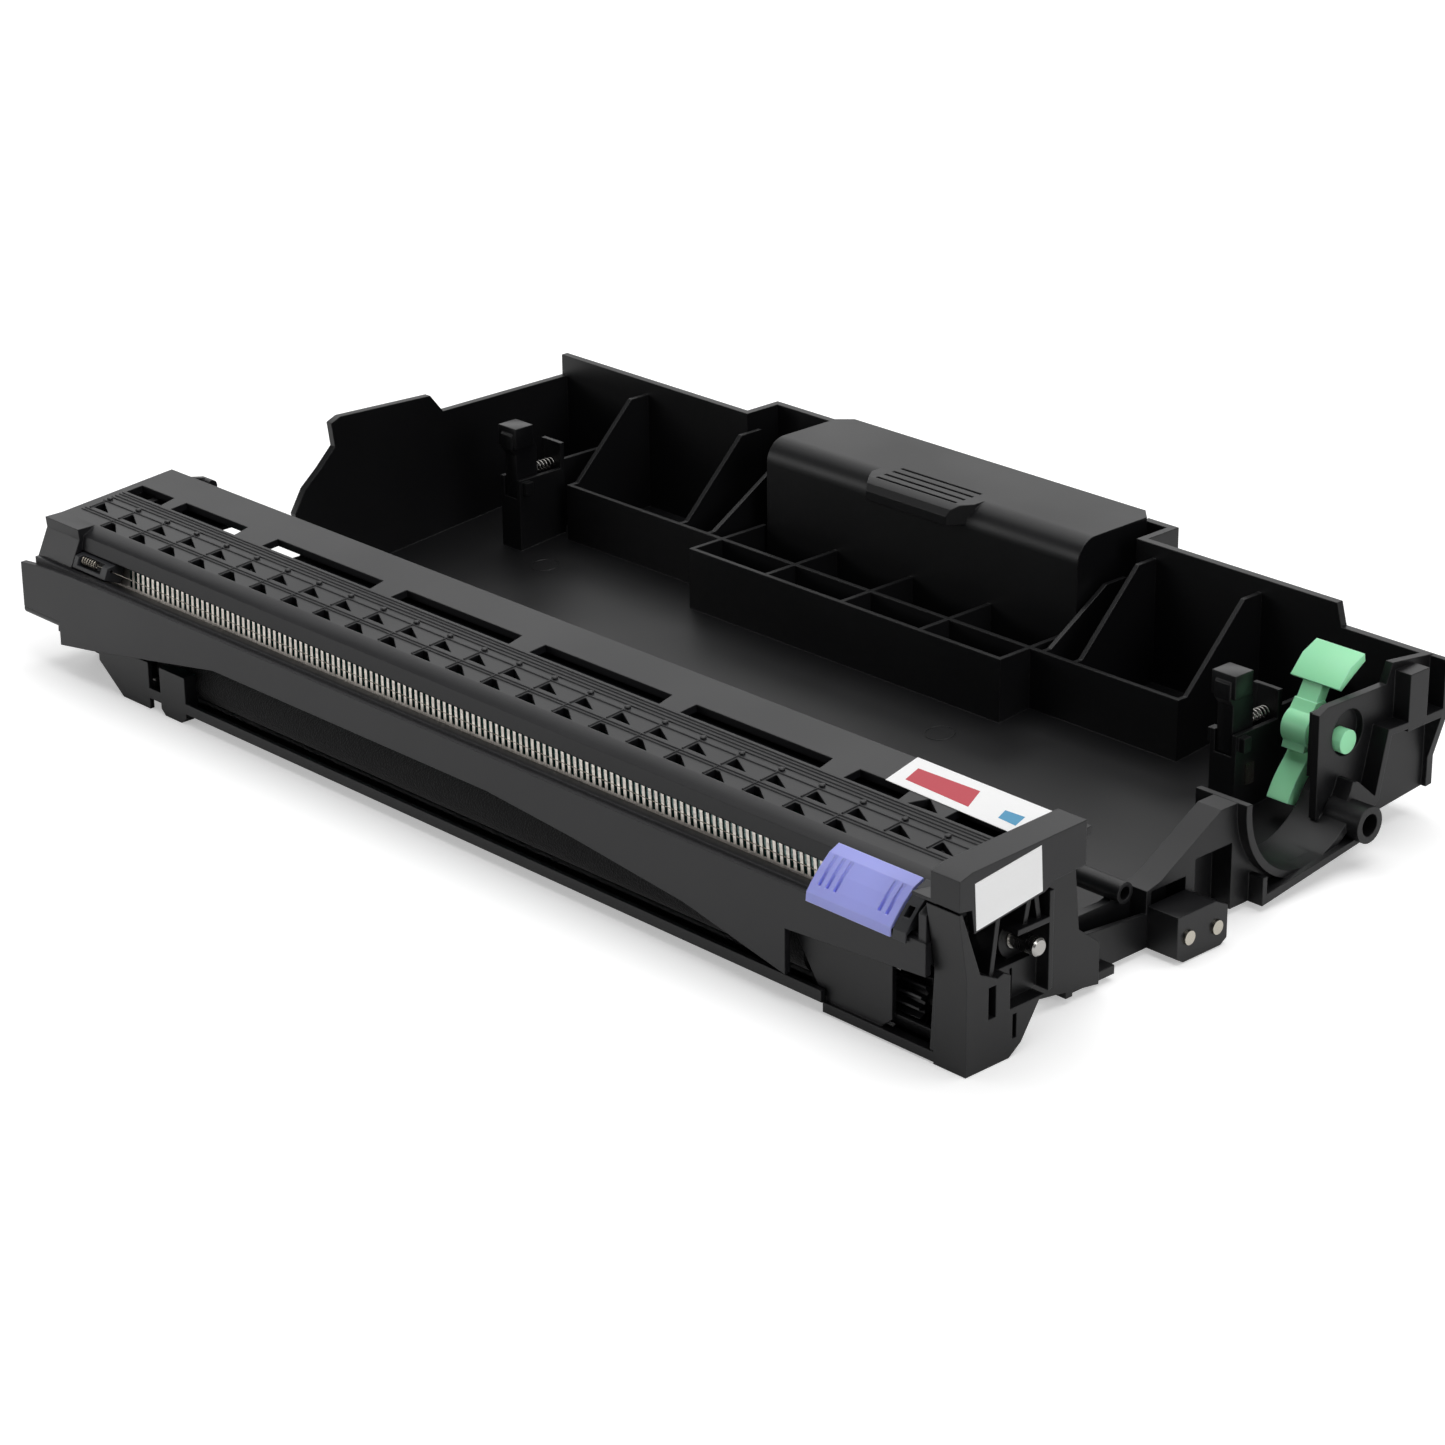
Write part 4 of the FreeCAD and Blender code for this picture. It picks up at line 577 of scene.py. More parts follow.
@dataclass
class Studio:
    """Pale floor, soft lamps and the camera at the photograph's place."""

    middle_x_mm: float = 2.9
    middle_y_mm: float = 90.6
    focal_pixels: float = 4050.05
    azimuth: float = 46.79
    elevation: float = 22.58
    roll: float = -0.58
    eye_mm: tuple[float, float, float] = (644.56, -611.62, 372.16)
    sensor_mm: float = 36.0
    clip_end: float = 50.0
    floor_half: float = 6.0
    floor_z: float = -0.0001
    sky: float = 0.1
    floor_glow: float = 0.4
    lamps: tuple = (
        ("lamp_over", (0.0, 0.15, 1.5), (0.0, 0.0, 0.0), (2.0, 1.4), 20.0),
        ("lamp_back", (-1.2, 1.15, 0.85), (0.0, 0.0, 0.0), (2.4, 1.1), 9.0),
        ("lamp_right", (1.7, -0.2, 0.8), (0.0, 0.0, 0.0), (0.9, 0.9), 9.0),
        ("lamp_front_left", (-1.25, -1.35, 0.42), (0.0, -0.05, 0.03), (1.6, 0.5), 5.0),
    )

    def build(self) -> None:
        """Makes the floor, the world, the lamps and the camera."""
        self.floor()
        self.world()
        for name, place, target, size, power in self.lamps:
            self.lamp(name, Vector(place), Vector(target), size, power)
        self.camera()

    def floor(self) -> None:
        """Makes a white floor that looks white to the camera and keeps the object's shadow."""
        half = self.floor_half
        along = np.linspace(-half, half, 3)
        x, y = np.meshgrid(along, along)
        points = np.stack([y, x, np.full_like(x, self.floor_z)], axis=-1)
        material, tree, _ = empty_material("studio_floor")
        ray = add_node(tree, "ShaderNodeLightPath")
        glow = add_node(tree, "ShaderNodeMath", {0: ray.outputs["Is Camera Ray"]}, {1: self.floor_glow},
                        operation="MULTIPLY")
        surface(tree, {"Emission Strength": glow.outputs[0]},
                {"Base Color": linear("#f2f2f2"), "Roughness": 0.75, "Specular IOR Level": 0.2,
                 "Emission Color": (1.0, 1.0, 1.0, 1.0)})
        grid_piece("floor", points[::-1], material)

    def world(self) -> None:
        """Makes an even sky: white to the camera, softer as a light."""
        world = bpy.data.worlds.new("studio_sky")
        bpy.context.scene.world = world
        world.use_nodes = True
        tree = world.node_tree
        tree.nodes.clear()
        ray = add_node(tree, "ShaderNodeLightPath")
        strength = add_node(tree, "ShaderNodeMapRange", {"Value": ray.outputs["Is Camera Ray"]},
                            {"To Min": self.sky, "To Max": 1.0})
        sky = add_node(tree, "ShaderNodeBackground", {"Strength": strength.outputs[0]},
                       {"Color": (1.0, 1.0, 1.0, 1.0)})
        add_node(tree, "ShaderNodeOutputWorld", {"Surface": sky.outputs[0]})

    def lamp(self, name: str, place: Vector, target: Vector, size: Span, power: float) -> None:
        """Hangs one rectangular soft box.

        Args:
            name: the lamp's name.
            place: its middle, in metres.
            target: the point that it faces.
            size: its sides, in metres.
            power: its power, in watts.
        """
        light = bpy.data.lights.new(name, "AREA")
        light.shape = "RECTANGLE"
        light.size, light.size_y = size
        light.energy = power
        lamp = linked(name, light)
        lamp.location = place
        lamp.rotation_mode = "QUATERNION"
        lamp.rotation_quaternion = (target - place).to_track_quat("-Z", "Y")

    def camera(self) -> None:
        """Puts the camera where the photograph was taken from."""
        turn, rise, roll = (math.radians(angle) for angle in (self.azimuth, self.elevation, self.roll))
        back = Vector((math.sin(turn) * math.cos(rise), -math.cos(turn) * math.cos(rise), math.sin(rise)))
        right = (-back).cross(Vector((0, 0, 1))).normalized()
        up = right.cross(-back)
        rolled_right = right * math.cos(roll) + up * math.sin(roll)
        rolled_up = up * math.cos(roll) - right * math.sin(roll)
        data = bpy.data.cameras.new("photo_camera")
        data.sensor_width = self.sensor_mm
        data.sensor_fit = "HORIZONTAL"
        data.lens = self.focal_pixels / PHOTO_PIXELS * self.sensor_mm
        data.clip_end = self.clip_end
        camera = linked("photo_camera", data)
        camera.matrix_world = Matrix((
            (rolled_right.x, rolled_up.x, back.x, self.eye_mm[0] * MM),
            (rolled_right.y, rolled_up.y, back.y, self.eye_mm[1] * MM),
            (rolled_right.z, rolled_up.z, back.z, self.eye_mm[2] * MM),
            (0.0, 0.0, 0.0, 1.0),
        ))
        bpy.context.scene.camera = camera


@dataclass
class Casings:
    """The tray and the cover over the drum."""

    tray: MouldedPlastic = MouldedPlastic("black_abs_tray", "#0b0b0d", roughness=0.4, grain_mm=0.6,
                                          edge_lift=0.12)
    cover: MouldedPlastic = MouldedPlastic("black_abs_cover", "#101013", roughness=0.4, grain_mm=0.4,
                                           edge_lift=0.15)

    def build(self) -> None:
        """Dresses both mouldings and adds their fine relief."""
        tray_finish = self.tray.material()
        cover_finish = self.cover.material()
        TrayForm().build(tray_finish)
        CoverForm().build(cover_finish)
        CoverRelief().build(cover_finish)
        PinMarks().build(tray_finish)


@dataclass
class OldForms:
    """Regions of the CAD tray that the photograph's forms take the place of."""

    edge: float = 166.0
    below: float = -1.0
    above: float = 50.0
    section_y: Span = (-9.0, 43.9)
    side_x: float = 144.5
    side_y: Span = (43.0, 166.5)
    arm_back: float = 49.0
    arm_top: float = 7.0
    handle: Extent = ((-53.3, 53.3), (148.0, 186.0), (22.3, 46.0))
    floor_x: float = 137.9
    floor_top: Outline = ((43.0, 3.45), (100.0, 3.45), (166.5, 9.4))
    guides_x: tuple[Span, Span] = ((-124.8, -117.2), (117.2, 124.8))
    guides: tuple[Span, Span] = ((124.4, 139.9), (25.0, 34.0))

    def shape(self, tray: Reshaped) -> None:
        """Cuts them away."""
        front, back = self.side_y
        tray.cut(box((-self.edge, self.edge), self.section_y, (self.below, self.above)))
        tray.cut(box((-self.edge, -self.side_x), (front, self.arm_back), (self.arm_top, self.above)))
        tray.cut(box(*self.handle))
        tray.cut(across(self.floor_top + ((back, self.above), (front, self.above)), (self.floor_x, self.edge)))
        tray.cut(box((self.side_x, self.edge), self.side_y, (self.below, self.above)))
        for x in self.guides_x:
            tray.cut(box(x, *self.guides))


@dataclass
class HandleForm:
    """The carrying handle: a sheet rolled down in front, its end walls, and a grip with four grooves.

    The sheet's section is two quarter arcs round one middle, and the grip's nose is cut to a slope.
    """

    half: float = 52.7
    front: float = 153.0
    back: float = 181.0
    top: float = 45.0
    low: float = 22.0
    sheet: float = 2.2
    bend: float = 6.0
    past: float = 46.0
    corner: Outline = ((52.7, 177.5), (53.7, 177.5), (53.7, 182.0), (49.2, 182.0), (49.2, 181.0))
    grip: Outline = ((-17.5, 160.0), (-17.5, 155.2), (-13.5, 149.0), (13.5, 149.0), (17.5, 155.2),
                     (17.5, 160.0))
    grip_low: float = 40.0
    nose: Outline = ((148.0, 45.4), (148.0, 41.6), (149.0, 42.4), (150.0, 44.0), (152.0, 45.0), (152.0, 45.4))
    nose_x: Span = (-18.5, 18.5)
    grooves_y: tuple = ((152.4, 153.3), (155.3, 156.2), (158.2, 159.1), (161.1, 162.0))
    grooves_x: Span = (-13.5, 13.5)
    groove_low: float = 44.3
    web: Outline = ((154.1, 8.5), (178.6, 8.5), (178.6, 43.9))
    web_steps: int = 8
    walls_x: tuple[Span, Span] = ((-53.7, -51.5), (51.5, 53.7))
    walls: tuple[Span, Span] = ((177.5, 179.5), (8.0, 44.0))

    def shape(self, tray: Reshaped) -> None:
        """Joins the sheet, the grip and the walls.

        Args:
            tray: the moulding.
        """
        under = self.top - self.sheet
        middle = (self.front + self.bend, self.top - self.bend)
        shell = [(self.front, self.low)] + arc(middle, self.bend, (180, 90))
        shell += [(self.back, self.top), (self.back, under)] + arc(middle, self.bend - self.sheet, (90, 180))
        shell += [(self.front + self.sheet, self.low)]
        tray.join(across(shell, (-self.half, self.half)))
        tray.cut(*[carried(Axis.UP, [(side * x, y) for x, y in self.corner], (under - OVERCUT, self.past))
                   for side in (-1, 1)])
        tray.join(carried(Axis.UP, self.grip, (self.grip_low, self.top)))
        tray.cut(across(self.nose, self.nose_x))
        tray.cut(*[box(self.grooves_x, y, (self.groove_low, self.past)) for y in self.grooves_y])
        web = list(self.web) + arc(middle, self.bend - self.sheet / 2, (90, 180), self.web_steps)
        tray.join(across(web, (-self.half, self.sheet - self.half)),
                  across(web, (self.half - self.sheet, self.half)))
        tray.join(*[box(x, *self.walls) for x in self.walls_x])


@dataclass
class CheekForm:
    """The wall right of the tray, with its channel, two hollows and the ring of the round cradle."""

    wall: Span = (143.0, 149.6)
    outline: Outline = ((38.0, 1.4), (100.0, 1.4), (136.0, 4.4), (145.4, 11.4), (137.4, 18.3), (100.0, 25.8),
                        (91.0, 25.8), (84.0, 22.0), (72.0, 15.5), (60.0, 12.6), (38.0, 12.6))
    web_x: float = 144.2
    hollows: tuple = (((69.0, 80.0), (4.4, 14.0)), ((83.0, 95.0), (0.4, 17.0)))
    channel: Extent = ((145.0, 148.4), (37.0, 67.6), (3.4, 20.0))
    sill: Outline = ((37.0, 12.0), (67.6, 9.2), (67.6, 20.0), (37.0, 20.0))
    cradle: Span = (117.0, 24.3)
    cradle_r: float = 19.0
    cradle_wall: float = 1.8
    cradle_turns: Span = (175.7, 328.2)
    cradle_x: Span = (138.0, 152.2)

    def shape(self, tray: Reshaped) -> None:
        """Joins the wall, hollows it and joins the ring. The wall's round cut ends inside the ring."""
        outside = self.wall[1] + OVERCUT
        tray.join(across(self.outline, self.wall))
        tray.cut(*[box((self.web_x, outside), *hollow) for hollow in self.hollows])
        tray.cut(box(*self.channel))
        tray.cut(across(self.sill, (self.channel[0][0], outside)))
        tray.cut(rod(self.cradle, self.cradle_r + self.cradle_wall / 3, (self.wall[0] - OVERCUT, outside)))
        tray.join(bow(self.cradle, self.cradle_r, self.cradle_wall, self.cradle_turns, self.cradle_x))


@dataclass
class LeverSide:
    """The plate that carries the lever, the corner behind it, and the bored boss and bar low on its side."""

    plate_x: Span = (143.2, 145.2)
    face: float = 149.6
    plate: Outline = ((128.9, 10.3), (140.4, 9.4), (145.4, 11.4), (148.9, 26.0), (168.6, 25.0),
                      (168.6, 38.5), (153.6, 40.5), (151.6, 35.8), (131.4, 36.2), (128.4, 35.0))
    window: Span = (138.6, 28.3)
    window_r: float = 5.4
    window_back: Extent = ((141.7, 143.4), (129.4, 146.4), (19.7, 34.7))
    rim: Outline = ((140.4, 9.4), (145.4, 11.4), (148.9, 26.0), (168.6, 25.0), (168.6, 26.6), (147.6, 27.6),
                    (144.0, 13.0), (139.4, 11.0))
    corner: tuple[Span, Span] = ((154.6, 168.6), (25.0, 38.5))
    corner_room: tuple[Span, Span] = ((161.1, 167.1), (27.0, 39.5))
    shelf_x: Span = (144.4, 145.2)
    shelf_y: Span = (145.4, 168.6)
    shelf_back: Span = (7.4, 9.4)
    shelf_sheet: float = 2.0
    gusset: Outline = ((146.4, 5.9), (168.6, 7.4), (168.6, 27.0), (149.4, 27.0))
    pin: Span = (137.4, 26.7)
    pin_r: float = 2.85
    pin_x: Span = (140.2, 146.2)
    boss: Span = (134.9, 10.4)
    boss_r: float = 4.3
    boss_x: Span = (145.6, 155.4)
    boss_bore_r: float = 2.6
    boss_bore_x: Span = (135.0, 156.4)
    foot_x: Span = (148.6, 153.6)
    foot: Outline = ((101.0, 1.4), (134.9, 6.1), (134.9, 7.5), (102.4, 3.8), (102.4, 8.0), (101.0, 8.0))
    bar: Span = (63.0, 15.0)
    bar_r: float = 2.4
    bar_x: Span = (134.0, 147.6)
    bar_bore_r: float = 1.5
    bar_bore_x: Span = (144.0, 149.0)

    def shape(self, tray: Reshaped) -> None:
        """Joins the plate with its window and corner, then the boss, its foot and the bar.

        Args:
            tray: the moulding.
        """
        left, right = self.plate_x
        outside = self.face + OVERCUT
        tray.join(across(self.plate, self.plate_x))
        tray.cut(rod(self.window, self.window_r, (left - OVERCUT, right + OVERCUT)))
        tray.join(box(*self.window_back))
        tray.join(across(self.rim, (left, self.face)))
        tray.join(box((left, self.face), *self.corner))
        tray.cut(box((right, outside), *self.corner_room))
        front, back = self.shelf_y
        level = FLOOR_TOP.height(front)
        tray.join(across([(front, level - self.shelf_sheet), (back, self.shelf_back[0]),
                          (back, self.shelf_back[1]), (front, level)], self.shelf_x))
        tray.join(across(self.gusset, self.plate_x))
        tray.cut(rod(self.pin, self.pin_r, self.pin_x))
        tray.join(rod(self.boss, self.boss_r, self.boss_x))
        tray.join(across(self.foot, self.foot_x))
        tray.join(rod(self.bar, self.bar_r, self.bar_x))
        tray.cut(rod(self.bar, self.bar_bore_r, self.bar_bore_x))
        tray.cut(rod(self.boss, self.boss_bore_r, self.boss_bore_x))


@dataclass
class GuideHooks:
    """Hooks at the mouths of the press arms' guides, two at each."""

    middles: Span = (-121.0, 121.0)
    near: float = 2.5
    far: float = 5.3
    place: tuple[Span, Span] = ((126.6, 129.0), (21.0, 24.4))

    def shape(self, tray: Reshaped) -> None:
        """Joins the hooks."""
        for middle in self.middles:
            tray.join(box((middle - self.far, middle - self.near), *self.place),
                      box((middle + self.near, middle + self.far), *self.place))


@dataclass
class DrumEnds:
    """The end walls of the drum section, their ties to the tray, and the open box at the right end.

    A wall's top runs below the cover's upper face, at the distance roof_gap.
    """

    left_x: Span = (-148.0, -146.0)
    right_x: Span = (152.0, 154.0)
    wall_back: Outline = ((14.0, 0.0), (22.0, 5.4), (48.0, 1.4), (48.0, 11.0), (41.5, 16.0), (40.0, 30.5))
    roof_y: Span = (40.0, 13.0)
    roof_gap: float = 2.1
    wall_front: Outline = ((8.2, 27.5), (7.2, 22.2), (1.2, 21.5))
    left_foot: Outline = ((0.6, 9.0), (11.0, 1.0))
    right_foot: Outline = ((0.0, 3.0), (2.5, 0.0))
    ties: tuple = (((-148.0, -144.5), (40.0, 52.0), (1.4, 7.0)), ((147.6, 154.0), (38.0, 40.0), (1.4, 12.0)))
    arm_floor: Extent = ((144.4, 153.0), (38.0, 54.0), (1.4, 3.4))
    box_x: Span = (153.0, 161.8)
    box_section: Outline = (
        (0.0, 0.0), (12.5, 0.0), (16.0, 2.4), (21.5, 10.5), (25.0, 11.4), (25.0, 33.0), (23.8, 33.0),
        (23.8, 27.4), (14.6, 27.4), (14.2, 22.4), (12.6, 20.0), (9.0, 18.8), (3.8, 21.4), (-1.6, 36.2),
        (-2.5, 36.2), (0.0, 21.0))
    room: Outline = ((10.6, 19.4), (12.6, 18.4), (23.8, 18.4), (23.8, 26.2), (10.6, 26.2))
    pockets: tuple = ((158.4, (12.6, 23.8), (10.8, 26.2)), (157.8, (6.3, 8.5), (10.6, 17.6)),
                      (159.8, (13.4, 14.6), (4.0, 9.4)))
    slit: tuple = (156.6, (16.0, 16.7), (11.6, 17.4))
    ribs: tuple = (((7.6, 19.0), (8.8, 19.0), (10.6, 31.0), (9.4, 31.0)),
                   ((17.2, 27.0), (18.4, 27.0), (19.6, 32.6), (18.4, 32.6)),
                   ((21.4, 27.0), (22.6, 27.0), (21.6, 32.6), (20.4, 32.6)))
    rib_x: Span = (153.0, 160.6)
    shaft: Span = (19.5, 22.5)
    shaft_r: float = 2.35
    collar_r: float = 4.5
    collar_x: Span = (152.0, 156.2)

    def shape(self, tray: Reshaped) -> None:
        """Joins the walls and ties, then the box with its pockets, ribs and the shaft's collar.

        Args:
            tray: the moulding.
        """
        roof = tuple((y, COVER_TOP.height(y) - self.roof_gap) for y in self.roof_y)
        outline = self.wall_back + roof + self.wall_front
        tray.join(across(outline + self.left_foot, self.left_x),
                  across(outline + self.right_foot, self.right_x))
        tray.join(*[box(*tie) for tie in self.ties])
        tray.join(box(*self.arm_floor))
        tray.join(across(self.box_section, self.box_x))
        outside = self.box_x[1] + OVERCUT
        tray.cut(across(self.room, (self.right_x[1], outside)))
        tray.cut(*[box((x, outside), y, z) for x, y, z in self.pockets])
        tray.cut(box((self.slit[0], outside), *self.slit[1:]))
        for rib in self.ribs:
            tray.join(across(rib, self.rib_x))
        tray.join(rod(self.shaft, self.collar_r, self.collar_x))
        tray.cut(rod(self.shaft, self.shaft_r, (self.left_x[0] - OVERCUT, self.box_x[1])))


@dataclass
class TroughForm:
    """The trough under the transfer roller, the bearings' guides, its rails, feet and the gear's guard."""

    roller: Span = (9.4, 8.209)
    half: float = 122.0
    section: Outline = ((-0.7, 5.4), (-0.7, 2.8), (4.6, 0.4), (15.4, 0.4), (21.0, 4.4), (21.0, 5.8),
                        (17.8, 5.4), (14.4, 5.4), (13.8, 2.8), (10.4, 1.6), (7.4, 1.6), (2.4, 3.0),
                        (0.5, 4.0), (0.5, 5.4))
    room_r: float = 6.6
    room_half: float = 113.5
    bearings: Span = (-118.0, 118.0)
    slot_half: float = 2.8
    slot: tuple[Span, Span] = ((4.5, 14.3), (1.6, 15.5))
    guide_half: float = 2.5
    guides_y: tuple[Span, Span] = ((3.3, 4.5), (14.3, 15.5))
    guide_z: Span = (1.3, 8.709)
    rails: tuple = (((-148.0, -121.8), (11.0, 13.4)), ((121.8, 154.0), (0.0, 2.4)))
    rail_z: Span = (0.4, 2.6)
    back_rail: tuple[Span, Span] = ((16.8, 20.0), (2.0, 5.0))
    right_foot: Outline = ((113.4, 16.4), (140.6, 17.0), (140.6, 5.0), (134.6, 0.0), (126.0, 0.0),
                           (121.4, 2.6), (113.4, 14.6))
    right_foot_y: Span = (0.9, 2.1)
    left_foot: Outline = ((-129.0, 12.0), (-108.6, 12.0), (-108.6, 0.0), (-119.6, 0.0), (-129.0, 7.0))
    left_foot_y: Span = (-0.7, 0.5)
    block: Outline = ((-104.0, 12.0), (-94.0, 12.0), (-94.0, 1.6), (-96.0, 0.0), (-102.4, 0.0),
                      (-104.0, 1.4))
    block_y: Span = (-0.7, 2.9)
    guard_r: float = 7.209
    guard_wall: float = 0.7
    guard_turns: Span = (195.5, 344.5)
    guard_x: Span = (136.0, 152.2)
    guard_plate: Extent = ((134.4, 152.2), (1.0, 14.0), (0.0, 0.6))

    def shape(self, tray: Reshaped) -> None:
        """Joins the trough, then the guides, rails, feet, block and guard.

        Args:
            tray: the moulding.
        """
        tray.join(across(self.section, (-self.half, self.half)))
        tray.cut(rod(self.roller, self.room_r, (-self.room_half, self.room_half)))
        for middle in self.bearings:
            tray.cut(box((middle - self.slot_half, middle + self.slot_half), *self.slot))
            tray.join(*[box((middle - self.guide_half, middle + self.guide_half), y, self.guide_z)
                        for y in self.guides_y])
        for x, y in self.rails:
            tray.join(box(x, y, self.rail_z), box(x, *self.back_rail))
        tray.join(carried(Axis.DEEP, self.right_foot, self.right_foot_y))
        tray.join(carried(Axis.DEEP, self.left_foot, self.left_foot_y),
                  carried(Axis.DEEP, self.block, self.block_y))
        tray.join(bow(self.roller, self.guard_r, self.guard_wall, self.guard_turns, self.guard_x))
        tray.join(box(*self.guard_plate))


@dataclass
class TrayForm:
    """The tray moulding with the forms that the photograph shows.

    Old forms are cut away with plain regions, and each new one is an outline carried along an axis. Outlines
    carried along X are in (y, z), those along Y in (x, z) and those along Z in (x, y), all in mm.
    """

    groups: tuple = (OldForms(), HandleForm(), CheekForm(), LeverSide(), GuideHooks(), DrumEnds(),
                     TroughForm())

    def build(self, finish: Material) -> None:
        """Makes the tray."""
        tray = Reshaped("tray_frame")
        for group in self.groups:
            group.shape(tray)
        tray.build("tray_moulding", finish, Slot.FRAME, "unit")


@dataclass
class CoverForm:
    """The cover moulding with its rows of pointed holes, the slots behind them and the ledges below these.

    A row is its middle along Y, the holes that it leaves out, its count of holes and how far their points
    lie from their left ends.
    """

    left: float = -155.1
    right: float = 148.0
    sheet_y: Span = (9.3, 34.0)
    sheet: float = 1.8
    back_y: float = 42.7
    skirt: float = 5.1
    ledge: float = 1.0
    hood_left: float = 154.0
    hole_length: float = 6.1
    hole_depth: float = 3.1
    hole_rows: tuple = ((17.2, 0, 25, 0.4), (11.0, 1, 22, 1.5))
    cut_z: Span = (33.0, 42.0)
    slots: tuple = ((-152.5, -138.0), (-134.0, -107.9), (-97.0, -55.6), (-48.0, -5.8), (1.2, 44.3),
                    (51.0, 94.0), (101.0, 117.0), (130.0, 147.0))
    slot_y: Span = (26.7, 31.6)
    slot_lean: float = 1.0
    arrow: Outline = ((119.4, 26.7), (127.6, 27.1), (121.8, 31.0))
    ledges: tuple = ((-145.7, -121.0), (-91.0, 151.7))
    ledge_y: Span = (26.9, 42.2)
    roll: Span = (-1.2, 13.4)
    roll_r: float = 1.4
    roll_x: Span = (-157.5, -142.5)

    def build(self, finish: Material) -> None:
        """Makes the cover: a fresh sheet over the old holes, then its skirt, holes, slots, ledges and roll.

        Args:
            finish: its material.
        """
        cover = Reshaped("drum_cover")
        near, far = self.sheet_y
        section = [(y, COVER_TOP.height(y) - drop)
                   for y, drop in ((near, 0.0), (far, 0.0), (far, self.sheet), (near, self.sheet))]
        cover.join(across(section, (self.left, self.right)))
        level = COVER_TOP.height(self.back_y) - self.skirt
        lip = (level, level + self.ledge)
        cover.join(box((self.left, self.hood_left), (self.back_y - self.sheet, self.back_y), lip))
        for middle, skipped, count, point in self.hole_rows:
            front, back = middle - self.hole_depth / 2, middle + self.hole_depth / 2
            starts = [HOLE_START + (skipped + number) * HOLE_PITCH for number in range(count)]
            hole = np.array([(0.0, front), (self.hole_length, front), (point, back), (0.0, back)])
            cover.cut(*[carried(Axis.UP, hole + (x, 0.0), self.cut_z) for x in starts])
        front, back = self.slot_y
        cover.cut(*[carried(Axis.UP, [(left, front), (right, front), (right - self.slot_lean, back),
                                      (left, back)], self.cut_z) for left, right in self.slots])
        cover.cut(carried(Axis.UP, self.arrow, self.cut_z))
        cover.join(*[box(ledge, self.ledge_y, lip) for ledge in self.ledges])
        cover.join(rod(self.roll, self.roll_r, self.roll_x))
        cover.build("cover_moulding", finish, Slot.COVER, "unit")


@dataclass
class CoverRelief:
    """Fine relief on the cover: long beads between the rows of holes, cross beads and studs beside them.

    A bead's section is the curve height * (1 - (2 u / width) ** 2), with u across it, and its foot lies
    inside the cover. A stud is a short round bar that narrows at its top.
    """

    foot: float = 0.25
    bead_width: float = 0.55
    bead_height: float = 0.24
    bead_points: int = 7
    long_beads: tuple = (13.3, 14.3, 19.9, 22.3, 23.5, 24.7, 25.7)
    ends: Span = (-152.6, 148.5)
    hole_count: int = 25
    cross_rows: tuple = ((15.0, 20.6), (9.7, 14.0))
    cross_lift: float = 1.15
    before_hole: float = 0.7
    stud_y: float = 21.1
    stud: Outline = ((0.75, -0.25), (0.75, 0.385), (0.45, 0.55))
    stud_points: int = 12

    def section(self) -> tuple[np.ndarray, np.ndarray]:
        """Gives a bead's section: places across it and heights above the cover, anticlockwise."""
        across = np.linspace(self.bead_width / 2, -self.bead_width / 2, self.bead_points)
        top = self.bead_height * (1 - (2 * across / self.bead_width) ** 2)
        across = np.concatenate([[-self.bead_width / 2, self.bead_width / 2], across])
        return across, np.concatenate([[-self.foot, -self.foot], top])

    def build(self, finish: Material) -> None:
        """Makes the beads and the studs.

        Args:
            finish: the cover's material.
        """
        across, lift = self.section()
        beads, crosses, studs = BarMesh(), BarMesh(), BarMesh()
        for place in self.long_beads:
            y = place + across
            beads.bar(np.stack([np.stack([np.full_like(y, x), y, COVER_TOP.height(y) + lift], axis=-1)
                                for x in self.ends]))
        turn = np.linspace(0, 2 * np.pi, self.stud_points, endpoint=False)
        for number in range(self.hole_count):
            x = HOLE_START + number * HOLE_PITCH - self.before_hole
            rows = self.cross_rows if 0 < number < self.hole_count - 2 else self.cross_rows[:1]
            for row in rows:
                crosses.bar(np.stack([np.stack([x - across, np.full_like(across, y),
                                                COVER_TOP.height(y) + lift * self.cross_lift], axis=-1)
                                      for y in row]))
            rings = []
            for radius, level in self.stud:
                y = self.stud_y + radius * np.sin(turn)
                rings.append(np.stack([x + radius * np.cos(turn), y, COVER_TOP.height(y) + level], axis=-1))
            studs.bar(np.stack(rings))
        beads.build("cover_long_beads", finish, Slot.COVER, "unit")
        crosses.build("cover_cross_beads", finish, Slot.COVER, "unit")
        studs.build("cover_studs", finish, Slot.COVER, "unit")


@dataclass
class PinMarks:
    """Round marks of the mould's pins on the tray's floor: rings that stand 0.12 mm proud.

    A ring is a section of four points turned round a vertical axis, closed on itself.
    """

    places: tuple = ((-105.4, 123.3), (44.1, 115.7))
    radii: tuple = (3.4, 3.8, 3.8, 3.4)
    lifts: tuple = (-0.2, -0.2, 0.12, 0.12)
    steps: int = 48

    def build(self, finish: Material) -> None:
        """Makes one ring at each place."""
        turn = np.linspace(2 * np.pi, 0, self.steps, endpoint=False)[:, None]
        for number, (x, y) in enumerate(self.places, start=1):
            along = y + np.array(self.radii) * np.sin(turn)
            points = np.stack([x + np.array(self.radii) * np.cos(turn), along,
                               FLOOR_TOP.height(along) + np.array(self.lifts)], axis=-1)
            ring = grid_piece(f"floor_pin_mark_{number}", in_unit(points), finish, (True, True))
            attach(ring, "unit")


